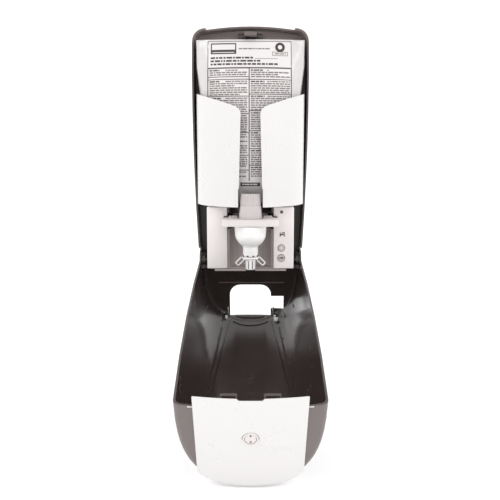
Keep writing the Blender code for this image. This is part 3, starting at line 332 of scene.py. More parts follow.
# Dark patches on the white pump where its slots open: painted shade.
SLIT_SHADE = Plastic("slit_painted_shade", "white_gloss", (0.075, 0.060, 0.058), (0.045, 0.034, 0.032), 0.5)
BOARD = Plastic("circuit_board", "board_green", (0.03, 0.16, 0.07), (0.015, 0.09, 0.04),
                0.45, Grain.SATIN)
LAMP = Plastic("lamp_lens", "lamp", (0.16, 0.08, 0.07), (0.08, 0.04, 0.035), 0.15, coat=0.5)
STEEL = Metal("bright_steel", "steel", (0.72, 0.71, 0.70), 0.24)
DARK_STEEL = Metal("dark_steel", "steel", (0.16, 0.145, 0.14), 0.34)


# ------------------------------------------------------------------ shaping


def smooth(obj: Object, angle: float = 32) -> Object:
    """Shade an object smooth with its real corners kept sharp.

    Args:
        obj: The object.
        angle: Degrees between faces from which an edge stays sharp.

    Returns:
        The same object.
    """
    obj.data.shade_smooth()
    obj.data.set_sharp_from_angle(angle=math.radians(angle))
    return obj


def finished(name: str, shape: BMesh, body: str, finish: Finish,
             turn: Matrix | None = None, replaces: Sequence[str] = (),
             angle: float = 32) -> Object:
    """Turn a bmesh into a piece of the object.

    Args:
        name: The piece's name.
        shape: Its mesh, which is freed.
        body: The body that it moves with.
        finish: Its finish.
        turn: What moves it from where it was shaped to where it stands.
        replaces: The plain solids that it stands for.
        angle: Degrees between faces from which an edge stays sharp.

    Returns:
        The new object.
    """
    if turn is not None:
        bmesh.ops.transform(shape, matrix=turn, verts=shape.verts)
    mesh = bpy.data.meshes.new(name)
    shape.to_mesh(mesh)
    shape.free()
    obj = bpy.data.objects.new(name, mesh)
    bpy.context.scene.collection.objects.link(obj)
    obj.data.materials.append(finish.material())
    smooth(obj, angle)
    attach(obj, body)
    if replaces:
        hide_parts(*replaces)
    LOG.info("made %s with %d faces", name, len(mesh.polygons))
    return obj


def refined(node: str, body: str, finish: Finish,
            bevel: float = 0.3 * MM) -> Object:
    """Give a plain solid its fine form: merged faces, small rounded edges and smooth shading.

    Args:
        node: The plain solid.
        body: The body that it moves with.
        finish: Its finish.
        bevel: Radius of its edges.

    Returns:
        The new object.
    """
    shape = bmesh.new()
    shape.from_mesh(frame["nodes"][node].data)
    bmesh.ops.remove_doubles(shape, verts=shape.verts, dist=MERGE)
    bmesh.ops.dissolve_limit(shape, angle_limit=math.radians(0.4), verts=shape.verts,
                             edges=shape.edges)
    obj = finished(f"{node}_fine", shape, body, finish, replaces=(node,))
    if bevel:
        rounded = obj.modifiers.new("edges", "BEVEL")
        rounded.width = bevel
        rounded.segments = 2
        rounded.limit_method = "ANGLE"
        rounded.angle_limit = math.radians(35)
        rounded.harden_normals = True
    return obj


def banded(obj: Object, height: float, outer: Plastic,
           inner: Plastic | None = None) -> None:
    """Give the part of a piece above a height another finish, apart from its back: painted light
    on the tray's top band, painted shade on the top of the bay.

    Faces that look down, or that face the user well behind the rim, can have a third finish; on
    the tray it is a stronger painted light.

    Args:
        obj: The piece.
        height: Z above which the finish changes.
        outer: Finish of the faces above it.
        inner: Finish of the faces within it, if it differs.
    """
    obj.data.materials.append(outer.material())
    obj.data.materials.append((inner or outer).material())
    shape = bmesh.new()
    shape.from_mesh(obj.data)
    bmesh.ops.bisect_plane(shape, geom=[*shape.verts, *shape.edges, *shape.faces],
                           plane_co=(0, 0, height), plane_no=(0, 0, 1))
    rim = min(vert.co.y for vert in shape.verts if vert.co.z > height) + RIM_REACH
    for face in shape.faces:
        middle = face.calc_center_median()
        if middle.z > height and face.normal.y < 0.5:
            within = face.normal.z < -0.3 or (face.normal.y < -0.5 and middle.y > rim)
            face.material_index = 2 if within else 1
    shape.to_mesh(obj.data)
    shape.free()


def dress(finish: Finish, *nodes: str) -> None:
    """Give plain solids that keep their form a finish.

    Args:
        finish: The finish.
        nodes: The solids' names.
    """
    for node in nodes:
        obj = frame["nodes"][node]
        obj.data.materials.clear()
        obj.data.materials.append(finish.material())


def soften(shape: BMesh, made: Sequence[bmesh.types.BMVert], radius: float,
           segments: int = 1) -> None:
    """Round the edges between some vertices of a bmesh.

    Args:
        shape: The bmesh.
        made: The vertices.
        radius: Radius of the edges.
        segments: Faces across each edge.
    """
    edges = list({edge for vert in made for edge in vert.link_edges})
    bmesh.ops.bevel(shape, geom=edges, offset=radius, segments=segments, profile=0.5,
                    affect="EDGES", material=-1)


def spans(near: float, far: float) -> Iterator[tuple[float, float]]:
    """Give the left and the right span between two distances from the middle."""
    for side in SIDES:
        yield tuple(sorted((side * near, side * far)))


def block(shape: BMesh, low: Sequence[float], high: Sequence[float],
          bevel: float = 0.0) -> None:
    """Add a block to a bmesh.

    Args:
        shape: The bmesh.
        low: Its lowest corner.
        high: Its highest corner.
        bevel: Radius of its edges, or 0 to leave them sharp.
    """
    made = bmesh.ops.create_cube(shape, size=1)["verts"]
    size = Vector(high) - Vector(low)
    bmesh.ops.scale(shape, vec=size, verts=made)
    bmesh.ops.translate(shape, vec=(Vector(high) + Vector(low)) / 2, verts=made)
    if bevel:
        soften(shape, made, bevel, 2)


def turned(profile: Profile, y: float, steps: int) -> BMesh:
    """Spin a profile about a vertical axis in the middle of the width.

    Args:
        profile: (radius, z) points from the top down.
        y: Y of the axis.
        steps: Steps in a full turn.

    Returns:
        The turned shape as a new bmesh.
    """
    shape = bmesh.new()
    line = [shape.verts.new((radius, 0, level)) for radius, level in profile]
    edges = [shape.edges.new(pair) for pair in zip(line, line[1:])]
    bmesh.ops.spin(shape, geom=line + edges, cent=(0, 0, 0), axis=(0, 0, 1), angle=math.tau,
                   steps=steps, use_merge=True)
    bmesh.ops.remove_doubles(shape, verts=shape.verts, dist=MERGE)
    bmesh.ops.recalc_face_normals(shape, faces=shape.faces)
    bmesh.ops.translate(shape, vec=(0, y, 0), verts=shape.verts)
    return shape


# ------------------------------------------------------------------ the object


def joint(name: str) -> dict:
    """Return a joint of the frame by its name."""
    return next(found for found in frame["joints"] if found["name"] == name)


@dataclass
class Body:
    """Sizes that the housing, the cover and the refill share."""

    tray_depth: float = 34 * MM
    base: float = -138 * MM
    pump_y: float = -80 * MM
    hinge: Vector = field(default_factory=lambda: Vector(joint("cover_hinge")["pos_m"]))
    open_angle: float = field(
        default_factory=lambda: math.radians(joint("cover_hinge")["range_deg"][1]))

    def point(self, x: float, forward: float, level: float) -> Vector:
        """Return a place from its distance in front of the rim plane and its level."""
        return Vector((x, -self.tray_depth - forward, self.base + level))

    def opened(self) -> Matrix:
        """Return the turn that swings what is shaped with the cover shut to the open cover."""
        turn = Matrix.Rotation(self.open_angle, 4, "X")
        return Matrix.Translation(self.hinge) @ turn @ Matrix.Translation(-self.hinge)


def bead(shape: BMesh, path: Sequence[Vector], way: Vector, height: float,
         half: float) -> None:
    """Add a rounded ridge that stands on a wall along a path.

    Args:
        shape: The bmesh.
        path: Points on the wall.
        way: Unit vector into the wall.
        height: How far the ridge stands off the wall.
        half: Half its width at its foot.
    """
    count = len(path) - 1
    made = bmesh.ops.create_grid(shape, x_segments=count, y_segments=4, size=0.5)["verts"]
    sunk, flank = -0.3 * MM, 0.75 * height
    lift = (sunk, flank, height, flank, sunk)
    for vert in made:
        along, across = round((vert.co.x + 0.5) * count), round((vert.co.y + 0.5) * 4)
        before, after = path[max(along - 1, 0)], path[min(along + 1, count)]
        side = (after - before).cross(way).normalized()
        vert.co = path[along] + side * half * (across - 2) / 2 - way * lift[across]
    edges = {edge for vert in made for edge in vert.link_edges}
    rim = [edge for edge in edges if edge.is_boundary]
    bmesh.ops.holes_fill(shape, edges=rim, sides=0)
    faces = list({face for vert in made for face in vert.link_faces})
    bmesh.ops.recalc_face_normals(shape, faces=faces)


@dataclass
class Housing:
    """Tray on the wall with its hinge lugs and latch catch."""

    body: Body
    floor_y: float = -2.4 * MM
    band_level: float = 257 * MM
    boss_level: float = 262.5 * MM
    boss_top: float = 269.5 * MM
    pocket_depth: float = 9 * MM
    step_depth: float = 1.6 * MM
    cap_depth: float = 6 * MM
    catch_half: float = 8 * MM
    pocket_end: float = 14 * MM
    step_start: float = 14.6 * MM
    step_end: float = 47 * MM
    cap_half: float = 9 * MM
    buffer_start: float = 49.2 * MM
    buffer_end: float = 57.6 * MM
    buffer_front: float = -16.8 * MM
    buffer_back: float = -12 * MM

    def boss(self) -> None:
        """Make the dark pockets beside the catch, the thin steps beside them and the cap above."""
        shape = bmesh.new()
        low, high = self.body.base + self.boss_level, self.body.base + self.boss_top
        floor = self.floor_y + 0.2 * MM
        for pocket, step in zip(spans(self.catch_half, self.pocket_end),
                                spans(self.step_start, self.step_end)):
            block(shape, (pocket[0], self.floor_y - self.pocket_depth, low),
                  (pocket[1], floor, high), 0.8 * MM)
            block(shape, (step[0], self.floor_y - self.step_depth, low - 2 * MM),
                  (step[1], floor, low - 1 * MM), 0.3 * MM)
        block(shape, (-self.cap_half, self.floor_y - self.cap_depth, high),
              (self.cap_half, floor, high + 0.8 * MM), 0.3 * MM)
        finished("catch_pockets", shape, "housing", BLACK_GLOSS)

    def foot(self) -> None:
        """Make the two buffers under the tray's foot, beside the hinge lugs."""
        shape = bmesh.new()
        for low, high in spans(self.buffer_start, self.buffer_end):
            block(shape, (low, self.buffer_front, self.body.base - 2.2 * MM),
                  (high, self.buffer_back, self.body.base + 0.4 * MM), 0.5 * MM)
        finished("foot_buffers", shape, "housing", BLACK_GLOSS)

    def build(self) -> None:
        """Make the tray and what is fixed to it."""
        tray = refined("rear_housing", "housing", TRAY_BLACK, 0.4 * MM)
        # The tray's top band is painted paler than the tray, a painted light; faces within it are
        # paler still.
        banded(tray, self.body.base + self.band_level, BAND_GREY_LIT, INNER_BAND_LIT)
        # The catch shares the band's painted light.
        refined("latch_catch", "housing", BAND_GREY_LIT)
        self.boss()
        self.foot()
        for side in ("left", "right"):
            refined(f"hinge_pin_{side}", "housing", DARK_STEEL)


@dataclass
class DriveModule:
    """Two columns with the bay between them, and what they hold."""

    body: Body
    face: float = -66 * MM
    button_face: float = -67.2 * MM
    dial_face: float = -66.4 * MM
    control: float = 34.5 * MM
    button_level: float = 31.2 * MM
    dial_level: float = 19.8 * MM
    sign_level: float = 46.3 * MM
    mark_depth: float = 0.15 * MM
    stroke_width: float = 0.9 * MM
    ring_steps: int = 48
    bay_shade_level: float = 68.5 * MM

    def on_face(self, x: float, level: float, turn: float, face: float) -> Matrix:
        """Return the place of a mark on a face, turned by some degrees."""
        place = Matrix.Translation((x, face, self.body.base + level))
        return place @ Matrix.Rotation(math.radians(turn), 4, "Y")

    def triangle(self, shape: BMesh, x: float, level: float, radius: float,
                 turn: float, face: float) -> None:
        """Add a thin triangle that faces the user.

        Args:
            shape: The bmesh.
            x: X of its middle.
            level: Level of its middle.
            radius: Its radius.
            turn: Degrees that it is turned.
            face: Y of the face that it lies on.
        """
        upright = Matrix.Rotation(math.radians(90), 4, "X")
        bmesh.ops.create_cone(shape, cap_ends=True, segments=3, radius1=radius, radius2=radius,
                              depth=2 * self.mark_depth,
                              matrix=self.on_face(x, level, turn, face) @ upright)

    def stroke(self, shape: BMesh, x: float, level: float, length: float, thickness: float,
               turn: float, face: float) -> None:
        """Add a thin straight mark that faces the user.

        Args:
            shape: The bmesh.
            x: X of its middle.
            level: Level of its middle.
            length: Its length.
            thickness: Its thickness.
            turn: Degrees that it is turned.
            face: Y of the face that it lies on.
        """
        size = Matrix.Diagonal((length, 2 * self.mark_depth, thickness, 1))
        made = bmesh.ops.create_cube(shape, size=1,
                                     matrix=self.on_face(x, level, turn, face) @ size)["verts"]
        soften(shape, made, 0.05 * MM)

    def marks(self) -> None:
        """Make the plain signs beside and on the controls."""
        sign = bmesh.new()
        left, right = self.control - 1.4 * MM, self.control + 3.2 * MM
        strokes = ((left, 0, 5.0, 90), (left + 1.3 * MM, 0, 3.6, 35),
                   (left + 1.5 * MM, 0, 3.4, -38), (right, 0, 5.0, 90),
                   (right - 1.3 * MM, 2.2, 2.8, 0), (right - 1 * MM, 0, 2.8, 40))
        for x, up, length, turn in strokes:
            self.stroke(sign, x, self.sign_level + up * MM, length * MM, self.stroke_width, turn,
                        self.face)
        finished("mode_sign", sign, "housing", MARK)
        arrow = bmesh.new()
        self.triangle(arrow, self.control, self.button_level + 0.2 * MM, 1.9 * MM, 0,
                      self.button_face)
        finished("button_arrow", arrow, "button", WHITE)
        pointer = bmesh.new()
        self.triangle(pointer, self.control + 0.9 * MM, self.dial_level, 1.5 * MM, 90,
                      self.dial_face)
        self.stroke(pointer, self.control - 1.2 * MM, self.dial_level, 2.4 * MM, 0.7 * MM, 0,
                    self.dial_face)
        finished("dial_pointer", pointer, "dial", MARK)
        rings = bmesh.new()
        for level, radius in ((self.button_level, 4.3 * MM), (self.dial_level, 4.5 * MM)):
            middle = Vector((self.control, self.face, self.body.base + level))
            turns = [math.tau * step / self.ring_steps for step in range(self.ring_steps + 1)]
            path = [middle + radius * Vector((math.sin(turn), 0, math.cos(turn)))
                    for turn in turns]
            bead(rings, path, Vector((0, 1, 0)), 0.25 * MM, 0.35 * MM)
        finished("control_rings", rings, "housing", LIGHT_GREY)

    def build(self) -> None:
        """Make the module's casing and dress what is inside it."""
        for side in ("left", "right"):
            refined(f"{side}_column_cover", "housing", COLUMN_GREY, 0.5 * MM)
        bay = refined("bay_liner", "housing", MID_GREY)
        # The bay above the yoke is painted black, a painted shade.
        banded(bay, self.body.base + self.bay_shade_level, BLACK_GLOSS)
        refined("module_base", "housing", MID_GREY, 0.4 * MM)
        refined("sensor_window", "housing", BLACK_GLOSS)
        refined("gearbox_plate", "housing", MID_GREY)
        for node, body, finish in (("crank_gear", "crank", NATURAL),
                                   ("idler_gear", "idler", NATURAL),
                                   ("motor_pinion", "pinion", STEEL)):
            refined(node, body, finish, 0)
        for node, body, finish in (("gear_motor", "housing", STEEL),
                                   ("test_button", "button", CONTROL_GREY),
                                   ("dose_dial", "dial", CONTROL_GREY),
                                   ("status_led", "housing", LAMP)):
            refined(node, body, finish)
        dress(NATURAL, *(f"battery_{number}" for number in range(1, 5)))
        dress(STEEL, "battery_contact_lower", "battery_contact_upper", "crank_shaft",
              "idler_shaft", *(f"plate_screw_{number}" for number in range(1, 5)))
        dress(BOARD, "circuit_board")
        dress(BLACK_GLOSS, "push_switch", "sensor_emitter", "sensor_receiver")
        self.marks()


@dataclass
class Pouch:
    """Film pouch with a thin sealed top, full in its lower half, and its printed label.

    What is printed on it is placed in millimetres: X, and the level above the housing's base.
    """

    body: Body
    low: float = 81.6 * MM
    high: float = 258.8 * MM
    half: float = 57.0 * MM
    shoulder: float = 3.1 * MM
    foot: float = 5 * MM
    foot_pull: float = 0.06
    foot_narrowing: float = 5 * MM
    cradle_top: float = 0.68
    cradle_blend: float = 0.16
    depth: float = 42.6 * MM
    back: float = 30.2 * MM
    power: float = 2.1
    back_power: float = 3.2
    seam_start: float = 0.72
    seam_curve: float = 1.6
    seam_offset: float = 2 * MM
    ripple: float = 0.9 * MM
    calm_half: float = 30 * MM
    calm_blend: float = 20 * MM
    around: int = 120
    rows: int = 120
    fullness: tuple[tuple[float, float], ...] = (
        (0, 0.66), (0.12, 0.88), (0.3, 1), (0.5, 0.98), (0.68, 0.84), (0.84, 0.58), (1, 0.22))
    label_left: float = -47
    label_right: float = 45
    table_top: float = 227
    table_low: float = 108
    line_step: float = 2.35
    print_step: float = 2.5
    print_depth: float = 0.04 * MM
    seed: int = 11
    folds: list[tuple[float, float, float, float, float, float]] = field(default_factory=list)

    def __post_init__(self) -> None:
        """Lay out the folds of the film: puckers under the seam and long folds down its sides."""
        draw = random.Random(self.seed)
        for number in range(14):
            x = (-1) ** number * draw.uniform(47.5, 55)
            self.fold(x, 258, x + draw.uniform(-5, 5), 258 - draw.uniform(5, 13),
                      draw.uniform(0.9, 1.8), 0.5)
        for side in SIDES:
            for _ in range(7):
                x, level = side * draw.uniform(49, 56), draw.uniform(135, 240)
                self.fold(x, level, x - side * draw.uniform(1, 8), level - draw.uniform(14, 38),
                          draw.uniform(1.6, 3.2), draw.uniform(0.5, 1.3))
        self.fold(56, 236, 50, 186, 3.6, 3.2)
        self.fold(51, 224, 55, 196, 2.2, 2.0)
        self.fold(-56, 238, -50, 204, 2.8, 2.0)

    def fold(self, *line: float) -> None:
        """Keep a fold: the two ends, its half width and its depth."""
        self.folds.append(tuple(MM * value for value in line))

    def full(self, share: float) -> float:
        """Say how full the pouch is at a height.

        Args:
            share: The height as a share of the pouch's own, from its foot.

        Returns:
            The share of the full depth that it has there.
        """
        for (start, low), (end, high) in zip(self.fullness, self.fullness[1:]):
            if share <= end:
                return low + (high - low) * (share - start) / (end - start)
        return self.fullness[-1][1]

    def wide(self, share: float) -> float:
        """Return half the pouch's width at a share of its height."""
        above = min(1.0, max(0.0, (share - self.cradle_top) / self.cradle_blend))
        return self.half - self.foot_narrowing * (1 - share) ** 3 + self.shoulder * above

    def creased(self, x: float, level: float) -> float:
        """Say how far the film sinks into its folds and ripples.

        Args:
            x: X of a point of its front.
            level: Level of the point.

        Returns:
            How far the film sinks there.
        """
        sunk = 0.0
        for x0, level0, x1, level1, half, deep in self.folds:
            run = (x1 - x0, level1 - level0)
            length = math.hypot(*run)
            along = ((x - x0) * run[0] + (level - level0) * run[1]) / length**2
            off = abs((x - x0) * run[1] - (level - level0) * run[0]) / length
            taper = max(0.0, 1 - abs(2 * along - 1)) ** 0.5 if 0 < along < 1 else 0.0
            sunk = max(sunk, deep * taper * math.exp(-((off / half) ** 2)))
        edge = min(1.0, max(0.0, (abs(x) - self.calm_half) / self.calm_blend))
        soft = 0.5 + 0.5 * noise.noise(Vector((x * 55, 3.0, level * 38)))
        return sunk + self.ripple * soft * (0.25 + 0.75 * edge)

    def front(self, x: float, level: float) -> Vector:
        """Place a point on the front of the film.

        Args:
            x: X of the point.
            level: Its level.

        Returns:
            The point on the film.
        """
        share = (level - self.low) / (self.high - self.low)
        across = min(1.0, abs(x) / self.wide(share))
        forward = self.depth * self.full(share) * (1 - across**self.power) ** (1 / self.power)
        return self.body.point(x, forward - self.creased(x, level), level)

    def film(self) -> None:
        """Make the film itself, as a padded piece."""
        shape = bmesh.new()
        bmesh.ops.create_cone(shape, cap_ends=True, segments=self.around, radius1=1, radius2=1,
                              depth=2)
        upright = [edge for edge in shape.edges if edge.verts[0].co.z != edge.verts[1].co.z]
        bmesh.ops.subdivide_edges(shape, edges=upright, cuts=self.rows - 1, use_grid_fill=True)
        for vert in shape.verts:
            share = (vert.co.z + 1) / 2
            level = self.low + share * (self.high - self.low)
            turn = math.atan2(vert.co.y, vert.co.x)
            shut = max(0.0, (share - self.seam_start) / (1 - self.seam_start)) ** self.seam_curve
            across = abs(math.cos(turn)) ** (2 / self.power)
            x = self.wide(share) * math.copysign(across, math.cos(turn))
            if vert.co.y < 0:
                vert.co = self.front(x, level)
            else:
                seam = self.seam_offset - self.depth * self.full(share)
                rear = self.back + (seam - self.back) * shut
                sunk = rear * abs(math.sin(turn)) ** (2 / self.back_power)
                vert.co = self.body.point(x, -sunk, level)
        for vert in shape.verts:
            up = (vert.co.z - self.body.base - self.low) / self.foot
            if up < 1:
                vert.co.x *= 1 - self.foot_pull * (1 - up) ** 2
        bmesh.ops.recalc_face_normals(shape, faces=shape.faces)
        obj = finished("film_pouch", shape, "housing", FILM, replaces=("refill_pouch",), angle=70)

    def strip(self, shape: BMesh, left: float, right: float, low: float, high: float,
              lift: float = 0.22) -> None:
        """Add a printed strip that lies on the film.

        Args:
            shape: The bmesh.
            left: X of its left end.
            right: X of its right end.
            low: Level of its lower edge.
            high: Level of its upper edge.
            lift: How far it stands off the film.
        """
        across = math.ceil((right - left) / self.print_step)
        up = math.ceil((high - low) / self.print_step)
        made = bmesh.ops.create_grid(shape, x_segments=across, y_segments=up, size=0.5)["verts"]
        for vert in made:
            x = MM * (left + (vert.co.x + 0.5) * (right - left))
            level = MM * (low + (vert.co.y + 0.5) * (high - low))
            vert.co = self.front(x, level) + Vector((0, -lift * MM, 0))

    def frame(self, shape: BMesh, left: float, right: float, low: float, high: float,
              line: float) -> None:
        """Add a printed outline.

        Args:
            shape: The bmesh.
            left: X of its left side.
            right: X of its right side.
            low: Level of its lower side.
            high: Level of its upper side.
            line: Thickness of its lines.
        """
        for side in (left, right - line):
            self.strip(shape, side, side + line, low, high)
        for side in (low, high - line):
            self.strip(shape, left, right, side, side + line)

    def words(self, shape: BMesh, draw: random.Random, left: float, right: float,
              level: float, tall: float, lift: float = 0.22) -> None:
        """Add a row of short bars that stands for a line of print.

        Args:
            shape: The bmesh.
            draw: Source of the bars' lengths.
            left: X of its start.
            right: X of its end.
            level: Level of its middle.
            tall: Height of the bars.
            lift: How far they stand off the film.
        """
        at = left
        while at < right - 0.8:
            end = min(right, at + draw.uniform(1.6, 6.5))
            self.strip(shape, at, end, level - tall / 2, level + tall / 2, lift)
            at = end + 0.55 * tall

    def label(self) -> None:
        """Make the printed label: plate, seal, title and a ruled table of fine print."""
        draw = random.Random(self.seed + 1)
        paper, ink, faint = bmesh.new(), bmesh.new(), bmesh.new()
        left, right, top = self.label_left, self.label_right, 257
        self.strip(paper, left, right, 100, top, 0.12)
        self.frame(faint, left, right, self.table_top, top, 0.8)
        self.strip(ink, -43.4, -15.5, 242.5, 254.6)
        self.strip(paper, -42.2, -16.7, 247.2, 253.2, 0.5)
        self.strip(paper, -41.5, -17.5, 243.8, 244.6, 0.5)
        self.words(faint, draw, -12.7, 21, 248.3, 1.3)
        self.disc(ink, 32.3, 250, 5.3, 0.4)
        self.disc(paper, 32.3, 250, 2.4, 0.6)
        self.frame(faint, 23.8, 40.8, 240.4, 245, 0.6)
        self.words(faint, draw, 26.5, 38.5, 242.7, 1.2)
        for end, level in ((2.7, 238.2), (11.6, 234.7), (29.5, 231.2)):
            self.words(ink, draw, -43.4, end, level, 1.9)
        self.strip(faint, 5, 29.5, 237.0, 237.5)
        self.table(ink, faint, draw)
        self.strip(ink, -11, 10.5, 100.4, 104.4)
        self.words(paper, draw, -9, 8.5, 102.4, 1.3, 0.5)
        for name, shape, finish in (("label_sheet", paper, PAPER), ("label_print", ink, INK),
                                    ("label_fine_print", faint, FAINT_INK)):
            bmesh.ops.solidify(shape, geom=shape.faces, thickness=self.print_depth)
            finished(name, shape, "housing", finish)

    def disc(self, shape: BMesh, x: float, level: float, radius: float,
             lift: float) -> None:
        """Add a printed disc.

        Args:
            shape: The bmesh.
            x: X of its middle.
            level: Level of its middle.
            radius: Its radius.
            lift: How far it stands off the film.
        """
        made = bmesh.ops.create_circle(shape, cap_ends=True, segments=36, radius=radius)["verts"]
        for vert in made:
            place = self.front(MM * (x + vert.co.x), MM * (level + vert.co.y))
            vert.co = place + Vector((0, -lift * MM, 0))

    def table(self, ink: BMesh, faint: BMesh, draw: random.Random) -> None:
        """Print the ruled table of fine print in two columns.

        Args:
            ink: The bmesh of the dark print.
            faint: The bmesh of the fine print.
            draw: Source of the bars' lengths.
        """
        line = 1.0
        for left in (self.label_left, -1.9, self.label_right - line):
            self.strip(ink, left, left + line, 106, self.table_top)
        self.strip(ink, self.label_left, self.label_right, self.table_top - 0.7,
                   self.table_top + 0.3)
        for left, right, rules in ((-46, -2, (217.4, 214.6, 196.5, 178, 158, 134, 118)),
                                   (-1, 44.5, (214.4, 198.6, 181, 160, 141, 123))):
            level = 224.4
            for rule in (*rules, self.table_low):
                head = True
                while level > rule + 1.3:
                    end = right - 1.5
                    if draw.random() >= 0.85:
                        end = left + (right - left) * draw.uniform(0.4, 0.9)
                    if head:
                        self.words(ink, draw, left + 1.4, left + draw.uniform(10, 17), level, 1.4)
                        self.words(faint, draw, left + 19, end, level, 1.2)
                    else:
                        self.words(faint, draw, left + 1.4, end, level, 1.4)
                    head = False
                    level -= self.line_step
                if rule > self.table_low:
                    self.strip(ink, left, right, rule - 0.4, rule + 0.4)
                level = rule - 2.2

    def build(self) -> None:
        """Make the film and its label."""
        self.film()
        self.label()


@dataclass
class Refill:
    """Pouch with its fitment and pump, in the white cradle."""

    body: Body
    cup: Profile = ((0, 93), (9.9, 93), (10.2, 92.4), (10.9, 84), (11.0, 80.6), (11.5, 80.3),
                    (11.6, 79.7), (12.0, 75), (12.45, 70), (12.55, 66), (12.6, 57.6), (12.2, 57.1),
                    (0, 57.1))
    socket: Profile = ((0, 51.6), (13.3, 51.6), (13.4, 52), (13.4, 58.1), (13.8, 58.6),
                       (16.7, 58.6), (17.2, 58.2), (17.35, 57), (17.3, 51.4), (17.0, 50.6))
    stem: Profile = ((9.4, 36.2), (8.6, 35.4), (8.3, 34.4), (8.3, 25.4), (8.0, 24.8), (0, 24.8))
    tube: Profile = ((0, 23.9), (7.4, 23.9), (7.6, 23.6), (7.6, 22.4), (7.2, 21.8), (5.8, 20.4),
                     (5.7, 20), (5.3, 10.4), (5.0, 10.0), (3.9, 10.0), (3.8, 10.4), (3.8, 18.8),
                     (0, 18.8))
    rib_level: float = 86.5 * MM
    rib_ring: float = 10.35 * MM
    rib_count: int = 26
    rib_size: tuple[float, float, float] = (1.5 * MM, 1.1 * MM, 12 * MM)
    rib_lean: float = -4
    slot_size: tuple[float, float, float] = (0.4 * MM, 2.2 * MM, 1.5 * MM)
    slot_level: float = 25.4 * MM
    slot_ring: float = 8.25 * MM
    bowl_steps: int = 14
    bowl_turn: float = math.radians(82)
    slot_turns: tuple[float, ...] = (-66, -22, 22, 66)
    fin_tilt: float = 45
    fin_x: float = 11.3 * MM
    fin_level: float = 19.2 * MM
    fin_half: float = 2.2 * MM
    slit_x: float = 2.1 * MM
    slit_half: float = 0.45 * MM
    grip_top: float = 66.0 * MM
    grip_start: float = 15.4 * MM
    grip_step: float = 1.5 * MM
    grip_half: float = 0.45 * MM
    grip_count: int = 6
    pad_start: float = 25.2 * MM
    pad_end: float = 29.4 * MM

    def spun(self, profile: Profile, steps: int) -> BMesh:
        """Return (radius, level) points in millimetres, spun about the pump's axis."""
        points = [(MM * radius, self.body.base + MM * level) for radius, level in profile]
        return turned(points, self.body.pump_y, steps)

    def around(self, turn: float, radius: float, z: float) -> Matrix:
        """Return the place at a turn and a radius about the pump's axis."""
        axis = Matrix.Translation((0, self.body.pump_y, z)) @ Matrix.Rotation(turn, 4, "Z")
        return axis @ Matrix.Translation((radius, 0, 0))

    def neck(self) -> None:
        """Make the clear neck with its ribs and the cup below it."""
        finished("neck_cup", self.spun(self.cup, 72), "housing", CLEAR, replaces=("pump_cup",))
        ribs = bmesh.new()
        lean = Matrix.Rotation(math.radians(self.rib_lean), 4, "Y")
        size = Matrix.Diagonal((*self.rib_size, 1))
        for rib in range(self.rib_count):
            place = self.around(rib * math.tau / self.rib_count, self.rib_ring,
                                self.body.base + self.rib_level)
            made = bmesh.ops.create_cube(ribs, size=1, matrix=place @ lean @ size)["verts"]
            soften(ribs, made, 0.2 * MM)
        finished("neck_ribs", ribs, "housing", CLEAR)

    def head(self) -> None:
        """Make the smooth dome and stem that slide on the cup."""
        bowl = []
        for step in range(self.bowl_steps + 1):
            turn = self.bowl_turn * step / self.bowl_steps
            bowl.append((8.5 + 8.5 * math.cos(turn) ** 1.5,
                         50 - 13.6 * math.sin(turn) / math.sin(self.bowl_turn)))
        shape = self.spun((*self.socket, *bowl, *self.stem), 72)
        finished("dome_head", shape, "yoke", PUMP_WHITE_LIT, replaces=("pump_head",))
        # Dark patches on the stem where its slots open: painted shade.
        slots = bmesh.new()
        size = Matrix.Diagonal((*self.slot_size, 1))
        for turn in self.slot_turns:
            place = self.around(math.radians(turn - 90), self.slot_ring,
                                self.body.base + self.slot_level)
            bmesh.ops.create_cube(slots, size=1, matrix=place @ size)
        finished("stem_slot_shade", slots, "yoke", SLIT_SHADE)

    def outlet(self) -> None:
        """Make the nozzle with its crossbar, the two open grip fins and dark patches of painted
        shade where its slits open.
        """
        shape = self.spun(self.tube, 56)
        finished("outlet_tube", shape, "yoke", PUMP_WHITE_LIT, replaces=("foam_nozzle",))
        fins, slits = bmesh.new(), bmesh.new()
        base, middle = self.body.base, self.body.pump_y
        front, back = middle - self.fin_half, middle + self.fin_half
        bars = (((-5.4, 1.7), (5.4, 2.6)), ((-5.4, -2.6), (5.4, -1.7)), ((4.5, -2.6), (5.4, 2.6)),
                ((-5.4, -2.6), (-4.0, 2.6)))
        for side in SIDES:
            place = Matrix.Translation((side * self.fin_x, 0, base + self.fin_level))
            place @= Matrix.Rotation(math.radians(side * self.fin_tilt), 4, "Y")
            first = len(fins.verts)
            for (x0, z0), (x1, z1) in bars:
                low, high = sorted((side * x0 * MM, side * x1 * MM))
                block(fins, (low, front, z0 * MM), (high, back, z1 * MM), 0.25 * MM)
            fins.verts.ensure_lookup_table()
            bmesh.ops.transform(fins, matrix=place, verts=fins.verts[first:])
            # Dark blocks on the nozzle's front where its slits open: painted shade.
            x, y = side * self.slit_x, middle - 5.35 * MM
            block(slits, (x - self.slit_half, y, base + 11 * MM),
                  (x + self.slit_half, y + 1 * MM, base + 20 * MM))
        block(fins, (-8.2 * MM, front - 3.6 * MM, base + 21.6 * MM),
              (8.2 * MM, front, base + 23.0 * MM), 0.3 * MM)
        finished("grip_fins", fins, "yoke", PUMP_WHITE_LIT)
        finished("outlet_slit_shade", slits, "yoke", SLIT_SHADE)

